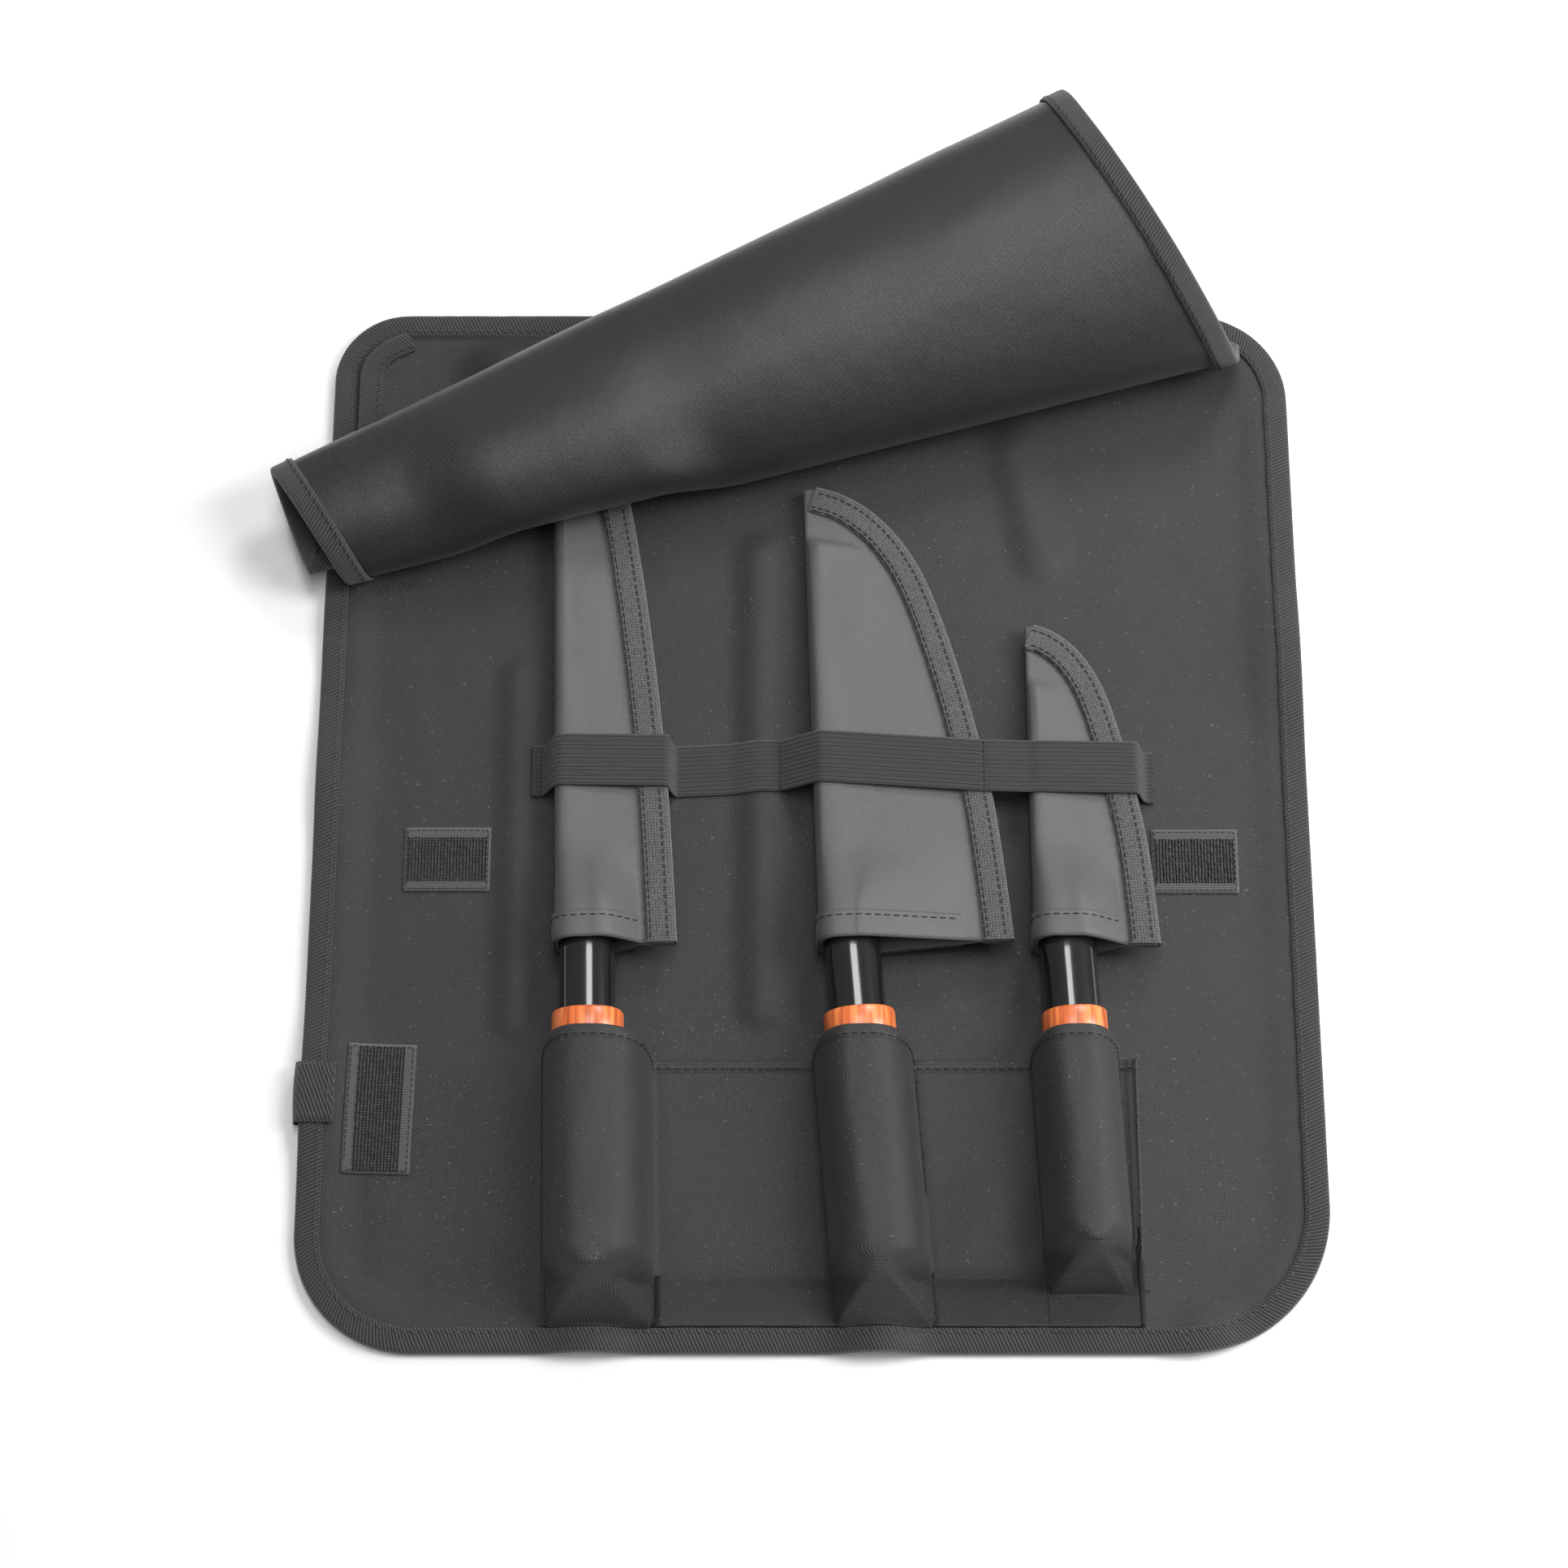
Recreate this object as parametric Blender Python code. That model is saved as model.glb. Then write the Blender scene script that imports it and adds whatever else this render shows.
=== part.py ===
"""Chef knife roll: a cloth panel laid open, its top flap rolled back, holding three sheathed knives.

Metres, +Z up. The origin is the middle of the panel's underside, which lies on the table at z = 0.
+Y runs up the panel towards the flap and the knives' tips, +X to the right.
"""

import math

import bpy
from mathutils import Matrix, Vector

# Cloth and the clearance between pieces that touch
CLOTH = 0.0016
FLAP_CLOTH = 0.0014
POCKET_CLOTH = 0.0014
TAPE = 0.0010
GAP = 0.0003
EASE = 0.00045

# Base panel and its edge binding
PANEL_WIDTH = 0.3675
PANEL_DEPTH = 0.404
BINDING_REACH = 0.008
RIM_FADE = 0.013
RING_INSET = 0.054

# Top flap: its cut size, and the cone that it is rolled on
FLAP_LEFT_INSET = 0.010
FLAP_RIGHT_INSET = 0.018
FLAP_LENGTH = 0.230
FLAP_FLARE = 0.012
FLAP_TAPER = 0.012
FLAP_CORNER = 0.030
FLAP_TAPE_STOP = 0.006
APEX_BEYOND = 0.235
APEX_Y = 0.0265
FOLD_ANGLE = math.radians(16.8)
HUMP_HEIGHT = 0.008
HUMP_HALF_WIDTH = 0.058
HUMP_SLOPE = 0.034
HUMP_RISE = 0.018
HUMP_FADE_FROM = 0.022
HUMP_FADE = 0.070
FLAP_SEARCH_FROM = 0.009

# Knives: handle, ferrule and collar, shared by all three
GRIP_Y = -0.050
FERRULE_LENGTH = 0.0325
FERRULE_HALF_WIDTH = 0.0101
FERRULE_HALF_THICK = 0.0093
COLLAR_LENGTH = 0.0115
HANDLE_LENGTH = 0.108
COLLAR_STEP = 0.0008
CORE_SHARE = 0.7
FERRULE_ROUND = 0.001
GRIP_ROUND = 0.003
COLLAR_ROUND = 0.0006

# Blades
HEEL_HALF_WIDTH = 0.006
HEEL_HALF_THICK = 0.0018
EDGE_HALF_THICK = 0.0004
EDGE_CLEARANCE = 0.004
BLADE_LEAST = 0.0006

# Sheaths
SHEATH_CLOTH = 0.0011
SHEATH_OVERLAP = 0.007
SPINE_OFFSET = 0.012
SEAM_WIDTH = 0.0104
SEAM_HALF_THICK = 0.0012
SWELL_FROM = 0.002
SWELL_LENGTH = 0.034
SPINE_ROOM_FROM = 0.004
SPINE_ROOM = 0.016
MOUTH_BAND = 0.010
MOUTH_BAND_CLOTH = 0.0008
SWELL_TOP = 1.03
HOLLOW_LEAST = 0.011
BLADE_SHORT = 0.008
MOUTH_HALF_THICK = (FERRULE_HALF_THICK + SHEATH_CLOTH + 2 * GAP) * SWELL_TOP + 1.5 * GAP + MOUTH_BAND_CLOTH
AXIS_HEIGHT = CLOTH + 2 * GAP + MOUTH_HALF_THICK

# Elastic band
ELASTIC_WIDTH = 0.020
ELASTIC_CLOTH = 0.0012
ELASTIC_SLACK = 0.002
ELASTIC_LEFT_TAB = 0.0042
ELASTIC_RIGHT_TAB = 0.0038
ELASTIC_FOLD = 0.0002

# Pocket strip
POCKET_TOP = -0.097
POCKET_CROWN_RISE = 0.0065
POCKET_ROUND = 3.2
POCKET_TENT = 1.15
POCKET_MARGIN = 0.0022
POCKET_TENT_FROM = 0.008
POCKET_TENT_FADE = 0.012
POCKET_FIN = 0.0030
FIN_X = 0.1175

# Hook and loop patches, and the side tab
PATCH_WIDTH = 0.032
PATCH_DEPTH = 0.0248
TALL_PATCH_WIDTH = 0.0245
TALL_PATCH_DEPTH = 0.048
PATCH_SPAN = 0.012
PATCH_TAPE = 0.0008
PILE_HEIGHT = 0.0012
PILE_MARGIN = 0.0038
TAB_WIDTH = 0.0225
TAB_REACH = 0.0118
TAB_Y = -0.1095

# Panel corners: x side, y side, radius as a share of the panel's depth
CORNERS = (
    (-1, -1, 0.104),
    (1, -1, 0.129),
    (1, 1, 0.087),
    (-1, 1, 0.067),
)

# Soft folds of the panel: both ends of the fold's line as shares of the half width and half depth,
# then half width and height as shares of the panel's width
FOLDS = (
    # x1, y1, x2, y2, half width, height
    (-0.60, 0.26, -0.595, -0.40, 0.028, 0.0055),
    (-0.105, 0.50, -0.100, -0.38, 0.034, 0.0080),
    (0.43, 0.72, 0.48, 0.50, 0.040, 0.0080),
    (0.33, -0.82, 0.35, -0.76, 0.066, 0.0060),
    (-0.43, -1.00, -0.43, -1.20, 0.059, 0.0150),
    (0.13, -1.00, 0.13, -1.20, 0.059, 0.0190),
    (0.76, -1.00, 0.76, -1.20, 0.059, 0.0090),
    (-1.00, -0.545, -1.20, -0.545, 0.110, 0.0080),
    (1.00, 0.30, 1.10, 0.24, 0.110, 0.0080),
    (-1.00, 0.06, -1.10, 0.06, 0.090, 0.0050),
)

# Interior grid lines of the panel, as shares of the grid's half width and half depth
GRID_X = (
    -1.0, -0.925, -0.885, -0.845, -0.805, -0.76, -0.60, -0.48, -0.36,
    -0.245, -0.193, -0.145, -0.097, -0.045, 0.06, 0.18, 0.30, 0.42,
    0.54, 0.62, 0.70, 0.78, 0.88, 1.0,
)
GRID_Y = (-1.0, -0.93, -0.815, -0.74, -0.66, -0.45, -0.25, 0.0, 0.25, 0.5, 0.7, 0.85, 1.0)
RING_LEVELS = (0.0, 0.165, 0.41, 1.0)
ARC_STEPS = 5

# The flap's curl: heading reached in degrees, and the arc that it takes, in radians about the apex
CURL = (
    (130.0, 0.092),
    (200.0, 0.185),
    (300.0, 0.057),
    (360.0, 0.07),
    (372.0, 0.11),
)
CURL_STEPS = (6, 5, 4, 5, 4)
FLAP_COLUMNS = (0.0, 0.06, 0.13, 0.20, 0.31, 0.42, 0.60, 0.80, 1.0)
FLAT_ROWS = (1.0, 0.93, 0.84, 0.72, 0.45, 0.2)

# Sheath outline that all three share: share of the length from the mouth, share of the mouth's width
SHEATH_EDGE = (
    (0.00, 1.000),
    (0.15, 0.970),
    (0.30, 0.930),
    (0.45, 0.862),
    (0.63, 0.755),
    (0.79, 0.625),
    (0.88, 0.500),
    (0.945, 0.350),
    (0.985, 0.190),
    (1.00, 0.070),
)
SHEATH_ROWS = (0.0, 0.055, 0.11, 0.18, 0.27, 0.42, 0.56, 0.68, 0.78, 0.86, 0.92, 0.965, 1.0)

# Knives: handle axis x, sheath yaw and handle yaw in degrees, tip drop per metre, sheath length and its
# width at the mouth, half thickness at the spine
KNIVES = (
    # name, x, sheath yaw, handle yaw, drop, length, width, spine
    ("slicer", -0.0817, 1.50, 1.3, 0.042, 0.231, 0.0433, 0.0036),
    ("deba", 0.0142, 1.65, 4.4, 0.045, 0.184, 0.0700, 0.0045),
    ("petty", 0.0925, 0.00, 2.7, 0.062, 0.127, 0.0450, 0.0034),
)
KNIFE_COLUMNS = ("name", "x", "sheath_yaw", "handle_yaw", "drop", "length", "width", "spine")

# Grips and the pockets over them: handle half width and half thickness, pocket half widths left and right
# of the axis, and where the pocket's end starts and stops along y
GRIPS = (
    # half width, half thickness, pocket left, pocket right, end from, end to
    (0.0130, 0.0120, 0.0153, 0.0212, -0.176, -0.1932),
    (0.0130, 0.0120, 0.0163, 0.0170, -0.176, -0.1932),
    (0.0118, 0.0112, 0.0145, 0.0138, -0.168, -0.1815),
)
GRIP_COLUMNS = ("half_width", "half_thick", "pocket_left", "pocket_right", "end_from", "end_to")

# Elastic band's stitched places: distance in x from a knife's axis, and y as a share of the half depth
ELASTIC_STITCHES = (
    # knife, x, y
    ("slicer", -0.01826, 0.070),
    ("slicer", 0.02915, 0.069),
    ("deba", -0.02559, 0.079),
    ("deba", 0.04993, 0.059),
    ("petty", 0.03135, 0.056),
)

# Patches: name, centre as shares of the half width and half depth, turn in degrees, tall or not
PATCHES = (
    ("left_patch", -0.734, -0.100, 0.0, False),
    ("right_patch", 0.772, -0.104, 0.0, False),
    ("lower_patch", -0.851, -0.568, -1.4, True),
)

# Materials: name, colour, roughness, metallic
MATERIALS = {
    "canvas": ((0.030, 0.031, 0.033), 0.80, 0.0),
    "binding_tape": ((0.026, 0.027, 0.029), 0.85, 0.0),
    "sheath_cloth": ((0.085, 0.087, 0.092), 0.60, 0.0),
    "sheath_tape": ((0.070, 0.071, 0.075), 0.90, 0.0),
    "elastic": ((0.024, 0.025, 0.027), 0.90, 0.0),
    "hook_tape": ((0.060, 0.061, 0.063), 0.75, 0.0),
    "hook_pile": ((0.012, 0.012, 0.013), 0.95, 0.0),
    "steel": ((0.62, 0.63, 0.65), 0.25, 1.0),
    "black_horn": ((0.015, 0.015, 0.016), 0.22, 0.0),
    "wood": ((0.72, 0.20, 0.06), 0.45, 0.0),
}


def smooth(share):
    share = min(max(share, 0.0), 1.0)
    return share * share * (3.0 - 2.0 * share)


def mix(a, b, share):
    return a + (b - a) * share


def clear_scene():
    for thing in list(bpy.data.objects):
        bpy.data.objects.remove(thing, do_unlink=True)


def make_material(name):
    colour, roughness, metallic = MATERIALS[name]
    material = bpy.data.materials.new(name)
    material.use_nodes = True
    shader = material.node_tree.nodes["Principled BSDF"]
    shader.inputs["Base Color"].default_value = (*colour, 1.0)
    shader.inputs["Roughness"].default_value = roughness
    shader.inputs["Metallic"].default_value = metallic
    return material


class Body:
    """Gathers faces by their points, joins equal points and makes one named object."""

    def __init__(self):
        self.points = []
        self.faces = []
        self.known = {}

    def index(self, point):
        key = tuple(round(value, 7) for value in point)
        if key not in self.known:
            self.known[key] = len(self.points)
            self.points.append(point)
        return self.known[key]

    def face(self, *corners):
        ring = []
        for corner in corners:
            number = self.index(corner)
            if number not in ring:
                ring.append(number)
        if len(ring) > 2:
            self.faces.append(ring)

    def skin(self, loops):
        """Joins loops of equal length, each right-handed about the way that they run."""
        for first, second in zip(loops, loops[1:]):
            count = len(first)
            for i in range(count):
                j = (i + 1) % count
                self.face(first[i], first[j], second[j], second[i])

    def loft(self, loops, closed=False):
        """A skin that closes on itself, or gets an end cap at each end."""
        self.skin(loops + loops[:1] if closed else loops)
        if not closed:
            self.face(*reversed(loops[0]))
            self.face(*loops[-1])

    def sheet(self, upper, lower):
        """Closes two equal grids of points, rows of columns, into one thin solid."""
        rows = len(upper)
        columns = len(upper[0])
        for r in range(rows - 1):
            for c in range(columns - 1):
                self.face(upper[r][c], upper[r][c + 1], upper[r + 1][c + 1], upper[r + 1][c])
                self.face(lower[r + 1][c], lower[r + 1][c + 1], lower[r][c + 1], lower[r][c])
        border = [(0, c) for c in range(columns)]
        border += [(r, columns - 1) for r in range(1, rows)]
        border += [(rows - 1, c) for c in range(columns - 2, -1, -1)]
        border += [(r, 0) for r in range(rows - 2, 0, -1)]
        for (r1, c1), (r2, c2) in zip(border, border[1:] + border[:1]):
            self.face(upper[r2][c2], upper[r1][c1], lower[r1][c1], lower[r2][c2])

    def build(self, name, material, parent=None):
        mesh = bpy.data.meshes.new(name)
        mesh.from_pydata([tuple(point) for point in self.points], [], self.faces)
        mesh.update()
        mesh.materials.append(material)
        mesh.shade_smooth()
        mesh.set_sharp_from_angle(angle=math.radians(35))
        thing = bpy.data.objects.new(name, mesh)
        bpy.context.scene.collection.objects.link(thing)
        thing.parent = parent
        return thing


def corner_radius(x, y):
    for side_x, side_y, share in CORNERS:
        if (x < 0) == (side_x < 0) and (y < 0) == (side_y < 0):
            return share * PANEL_DEPTH
    return 0.0


def edge_distance(x, y):
    """Distance inwards from the panel's rounded outline."""
    radius = corner_radius(x, y)
    qx = abs(x) - PANEL_WIDTH / 2 + radius
    qy = abs(y) - PANEL_DEPTH / 2 + radius
    outside = math.hypot(max(qx, 0.0), max(qy, 0.0))
    return radius - outside - min(max(qx, qy), 0.0)


def fold_height(x, y):
    total = 0.0
    for x1, y1, x2, y2, half, height in FOLDS:
        start = Vector((x1 * PANEL_WIDTH / 2, y1 * PANEL_DEPTH / 2))
        end = Vector((x2 * PANEL_WIDTH / 2, y2 * PANEL_DEPTH / 2))
        along = end - start
        here = Vector((x, y)) - start
        share = min(max(here.dot(along) / along.length_squared, 0.0), 1.0)
        away = (here - along * share).length / (half * PANEL_WIDTH)
        if away < 1.0:
            total += height * PANEL_WIDTH * math.cos(math.pi * away / 2) ** 2
    return total


def base_height(x, y):
    """Height of the panel's underside: a rim that the tape lifts, and the soft folds."""
    rim = TAPE + EASE
    inward = edge_distance(x, y) - BINDING_REACH - TAPE
    return rim * (1.0 - smooth(inward / RIM_FADE)) + fold_height(x, y)


def panel_top(x, y):
    return base_height(x, y) + CLOTH


def ground_top(x, y, span=0.005):
    """Height at which a piece of cloth clears the panel and its facets round a place."""
    spots = [(x + i * span, y + j * span) for i in (-1, 0, 1) for j in (-1, 0, 1)]
    return max(panel_top(*spot) for spot in spots) + GAP


def perimeter():
    """Stations round the panel: point on the outline, its outward normal and its inner partner."""
    half_x = PANEL_WIDTH / 2
    half_y = PANEL_DEPTH / 2
    grid_x = half_x - RING_INSET
    grid_y = half_y - RING_INSET
    xs = [share * grid_x for share in GRID_X]
    ys = [share * grid_y for share in GRID_Y]
    stations = []

    def side(points, normal):
        for outer, inner in points:
            stations.append((Vector(outer), Vector(normal), Vector(inner)))

    def corner(side_x, side_y, start):
        radius = corner_radius(side_x, side_y)
        centre = Vector((side_x * (half_x - radius), side_y * (half_y - radius)))
        for step in range(ARC_STEPS + 1):
            angle = math.radians(start + 90.0 * step / ARC_STEPS)
            normal = Vector((math.cos(angle), math.sin(angle)))
            inner = Vector((side_x * grid_x, side_y * grid_y))
            stations.append((centre + normal * radius, normal, inner))

    side([((x, -half_y), (x, -grid_y)) for x in xs], (0, -1))
    corner(1, -1, -90.0)
    side([((half_x, y), (grid_x, y)) for y in ys], (1, 0))
    corner(1, 1, 0.0)
    side([((x, half_y), (x, grid_y)) for x in reversed(xs)], (0, 1))
    corner(-1, 1, 90.0)
    side([((-half_x, y), (-grid_x, y)) for y in reversed(ys)], (-1, 0))
    corner(-1, -1, 180.0)
    return stations, xs, ys


def base_panel(materials):
    stations, xs, ys = perimeter()
    cells = []
    for y1, y2 in zip(ys, ys[1:]):
        for x1, x2 in zip(xs, xs[1:]):
            cells.append(((x1, y1), (x2, y1), (x2, y2), (x1, y2)))
    count = len(stations)
    for level1, level2 in zip(RING_LEVELS, RING_LEVELS[1:]):
        for i in range(count):
            outer1, _, inner1 = stations[i]
            outer2, _, inner2 = stations[(i + 1) % count]
            ring = (
                outer1.lerp(inner1, level1), outer2.lerp(inner2, level1),
                outer2.lerp(inner2, level2), outer1.lerp(inner1, level2),
            )
            cells.append(tuple(tuple(point) for point in ring))
    body = Body()

    def lower(point):
        return (point[0], point[1], base_height(*point))

    def upper(point):
        return (point[0], point[1], panel_top(*point))

    for cell in cells:
        body.face(*[upper(point) for point in cell])
        body.face(*[lower(point) for point in reversed(cell)])
    for i in range(count):
        first = tuple(stations[i][0])
        second = tuple(stations[(i + 1) % count][0])
        body.face(lower(first), lower(second), upper(second), upper(first))
    return body.build("base_panel", materials["canvas"])


def tape_section(reach, inner_half, wall, overhang):
    """U section of a folded tape: outward distance and height about the cloth's middle."""
    outer_half = inner_half + wall
    return (
        (-reach, outer_half),
        (overhang, outer_half),
        (overhang, -outer_half),
        (-reach, -outer_half),
        (-reach, -inner_half),
        (overhang - wall, -inner_half),
        (overhang - wall, inner_half),
        (-reach, inner_half),
    )


def edge_binding(materials):
    section = tape_section(BINDING_REACH, CLOTH / 2 + EASE, TAPE, TAPE + GAP)
    body = Body()
    loops = []
    for outer, normal, _ in perimeter()[0]:
        loop = []
        for outward, height in section:
            point = outer + normal * outward
            ground = outer + normal * min(outward, 0.0)
            loop.append((point.x, point.y, base_height(*ground) + CLOTH / 2 + height))
        loops.append(loop)
    body.loft(loops, closed=True)
    return body.build("edge_binding", materials["binding_tape"])


class Curl:
    """Directions on the cone that the flap is rolled on, by arc from the fold line."""

    def __init__(self):
        middle = FLAP_CLOTH / 2
        lowest = TAPE + EASE + CLOTH + GAP + TAPE + EASE
        self.left = -PANEL_WIDTH / 2 + FLAP_LEFT_INSET
        self.right = PANEL_WIDTH / 2 - FLAP_RIGHT_INSET
        self.apex = Vector((self.left - APEX_BEYOND, APEX_Y, lowest + middle))
        self.root_y = PANEL_DEPTH / 2 - BINDING_REACH - GAP
        self.free_y = self.root_y - FLAP_LENGTH
        self.rows = [0.0]
        arc = 0.0
        for (_, length), steps in zip(CURL, CURL_STEPS):
            for step in range(1, steps + 1):
                self.rows.append(arc + length * step / steps)
            arc += length
        along = Vector((math.cos(FOLD_ANGLE), math.sin(FOLD_ANGLE), 0.0))
        up = Vector((0.0, 0.0, 1.0))
        self.step = 0.002
        self.frames = [(along.copy(), up.copy())]
        travelled = 0.0
        while travelled < arc + self.step:
            bend = self.bend(travelled + self.step / 2)
            spin = -bend * along - up
            turn = Matrix.Rotation(spin.length * self.step, 3, spin)
            along = (turn @ along).normalized()
            up = (turn @ up).normalized()
            self.frames.append((along.copy(), up.copy()))
            travelled += self.step

    def bend(self, arc):
        heading = 0.0
        for reached, length in CURL:
            if arc <= length:
                return math.radians(reached - heading) / length
            arc -= length
            heading = reached
        return 0.0

    def left_x(self, y):
        flare = smooth((self.root_y - y) / FLAP_LENGTH * 2.0 - 1.0)
        return self.left - FLAP_FLARE * flare

    def right_x(self, y):
        return self.right - FLAP_TAPER * smooth((self.root_y - y) / FLAP_LENGTH * 1.3)

    def inside(self, x, y):
        """Whether a flat point lies in the flap's cut outline."""
        if not (self.left_x(y) <= x <= self.right_x(y) and self.free_y <= y <= self.root_y):
            return False
        side = -1 if x < 0 else 1
        radius = corner_radius(side, 1)
        inner = radius - BINDING_REACH - 2 * GAP - TAPE - GAP
        qx = abs(x) - PANEL_WIDTH / 2 + radius
        qy = y - PANEL_DEPTH / 2 + radius
        if qx > 0 and qy > 0 and math.hypot(qx, qy) > inner:
            return False
        qx = x - self.right_x(y) + FLAP_CORNER
        qy = self.free_y + FLAP_CORNER - y
        return not (qx > 0 and qy > 0 and math.hypot(qx, qy) > FLAP_CORNER)

    def reach(self, angle, start, stop):
        """Farthest distance from the apex along a ray, between two distances, still in the outline."""
        for _ in range(40):
            middle = (start + stop) / 2
            x = self.apex.x + middle * math.cos(angle)
            y = self.apex.y + middle * math.sin(angle)
            if self.inside(x, y):
                start = middle
            else:
                stop = middle
        return start

    def flat(self, angle, distance):
        return (self.apex.x + distance * math.cos(angle), self.apex.y + distance * math.sin(angle))

    def hump(self, x, y):
        """Lift of the flap where it lies over the slicer's sheath."""
        row = dict(zip(KNIFE_COLUMNS, KNIVES[0]))
        middle = row["x"] - math.tan(math.radians(row["sheath_yaw"])) * (y - GRIP_Y)
        middle += row["width"] * 0.37 - SPINE_OFFSET
        across = smooth((HUMP_HALF_WIDTH - abs(x - middle)) / HUMP_SLOPE)
        fold_y = self.apex.y + (x - self.apex.x) * math.tan(FOLD_ANGLE)
        down = self.root_y - y
        rise = smooth((down - TAPE) / HUMP_RISE)
        fade = 1.0 - smooth((fold_y - y - HUMP_FADE_FROM) / HUMP_FADE)
        return HUMP_HEIGHT * across * rise * fade

    def place(self, x, y, height):
        """A flat point of the flap, height above its middle, laid on the cone."""
        dx = x - self.apex.x
        dy = y - self.apex.y
        distance = math.hypot(dx, dy)
        arc = FOLD_ANGLE - math.atan2(dy, dx)
        lift = Vector((0.0, 0.0, self.hump(x, y)))
        if arc <= 0.0:
            return Vector((x, y, self.apex.z + height)) + lift
        number = min(int(arc / self.step), len(self.frames) - 2)
        share = arc / self.step - number
        along = self.frames[number][0].lerp(self.frames[number + 1][0], share).normalized()
        up = self.frames[number][1].lerp(self.frames[number + 1][1], share).normalized()
        return self.apex + along * distance + up * height + lift

    def curled_rows(self):
        rows = []
        for arc in self.rows:
            angle = FOLD_ANGLE - arc
            inside = (APEX_BEYOND + FLAP_SEARCH_FROM) / math.cos(angle)
            left = self.reach(angle, inside, APEX_BEYOND * 0.7)
            right = self.reach(angle, inside, (APEX_BEYOND + PANEL_WIDTH) * 1.3)
            rows.append([self.flat(angle, mix(left, right, share)) for share in FLAP_COLUMNS])
        return rows

    def flat_rows(self):
        """Rows between the root and the fold line, root first."""
        fold = self.curled_rows()[0]
        root_left = self.reach_root()
        root = [(mix(root_left, fold[-1][0], share), self.root_y) for share in FLAP_COLUMNS]
        rows = []
        for share in FLAT_ROWS:
            row = []
            for start, end in zip(fold, root):
                row.append((mix(start[0], end[0], share), mix(start[1], end[1], share)))
            y = row[0][1]
            x = self.left_x(y)
            while not self.inside(x + 1e-6, y) and x < root_left:
                x += 0.0002
            row[0] = (x, y)
            rows.append(row)
        return rows

    def reach_root(self):
        x = self.left
        while not self.inside(x, self.root_y):
            x += 0.0002
        return x


def top_flap(materials, curl):
    rows = curl.flat_rows() + curl.curled_rows()
    half = FLAP_CLOTH / 2
    upper = [[curl.place(x, y, half) for x, y in row] for row in reversed(rows)]
    lower = [[curl.place(x, y, -half) for x, y in row] for row in reversed(rows)]
    body = Body()
    body.sheet(upper, lower)
    return body.build("top_flap", materials["canvas"])


def flap_binding(materials, curl):
    """Folded tape round the flap's two sides and its free edge."""
    flat = curl.flat_rows()
    curled = curl.curled_rows()
    path = [row[0] for row in flat + curled]
    path += curled[-1][2:-1:3]
    path += [row[-1] for row in reversed(curled) if row[-1][1] < curl.root_y - FLAP_TAPE_STOP]
    path = [Vector(point) for point in path]
    section = tape_section(BINDING_REACH, FLAP_CLOTH / 2 + EASE, TAPE, TAPE + GAP)
    free_from = len(flat) + len(curled)
    body = Body()
    loops = []
    for i, point in enumerate(path):
        before = path[max(i - 1, 0)]
        after = path[min(i + 1, len(path) - 1)]
        forward = (after - before).normalized()
        outward = Vector((forward.y, -forward.x))
        ruling = (point - Vector(curl.apex[:2])).normalized()
        if i < free_from:
            ruling = -ruling
        along_ruling = abs(outward.dot(ruling))
        if along_ruling > 0.8:
            outward = ruling / along_ruling
        loop = []
        for distance, height in section:
            spot = point + outward * distance
            loop.append(curl.place(spot.x, min(spot.y, curl.root_y), height))
        loops.append(loop)
    body.loft(loops)
    return body.build("flap_binding", materials["binding_tape"])


def shift_line(line, distance):
    """Moves an open line of 2D points sideways, to the left of its direction."""
    moved = []
    for i, point in enumerate(line):
        here = Vector(point)
        before = Vector(line[max(i - 1, 0)])
        after = Vector(line[min(i + 1, len(line) - 1)])
        into = (here - before) if i > 0 else (after - here)
        out = (after - here) if i < len(line) - 1 else (here - before)
        normal1 = Vector((-into.y, into.x)).normalized()
        normal2 = Vector((-out.y, out.x)).normalized()
        normal = (normal1 + normal2).normalized()
        stretch = distance / max(normal.dot(normal1), 0.6)
        moved.append((here.x + normal.x * stretch, here.y + normal.y * stretch))
    return moved


def table_value(table, share):
    """Smooth value of a two-column table, through its points."""
    last = len(table) - 1
    i = 0
    while i < last - 1 and share > table[i + 1][0]:
        i += 1
    x1, y1 = table[i]
    x2, y2 = table[i + 1]
    x0, y0 = table[max(i - 1, 0)]
    x3, y3 = table[min(i + 2, last)]
    slope1 = (y2 - y0) / (x2 - x0)
    slope2 = (y3 - y1) / (x3 - x1)
    width = x2 - x1
    t = (share - x1) / width
    a = (1 + 2 * t) * (1 - t) ** 2
    b = t * (1 - t) ** 2
    c = t * t * (3 - 2 * t)
    d = t * t * (t - 1)
    return a * y1 + b * width * slope1 + c * y2 + d * width * slope2


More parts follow.
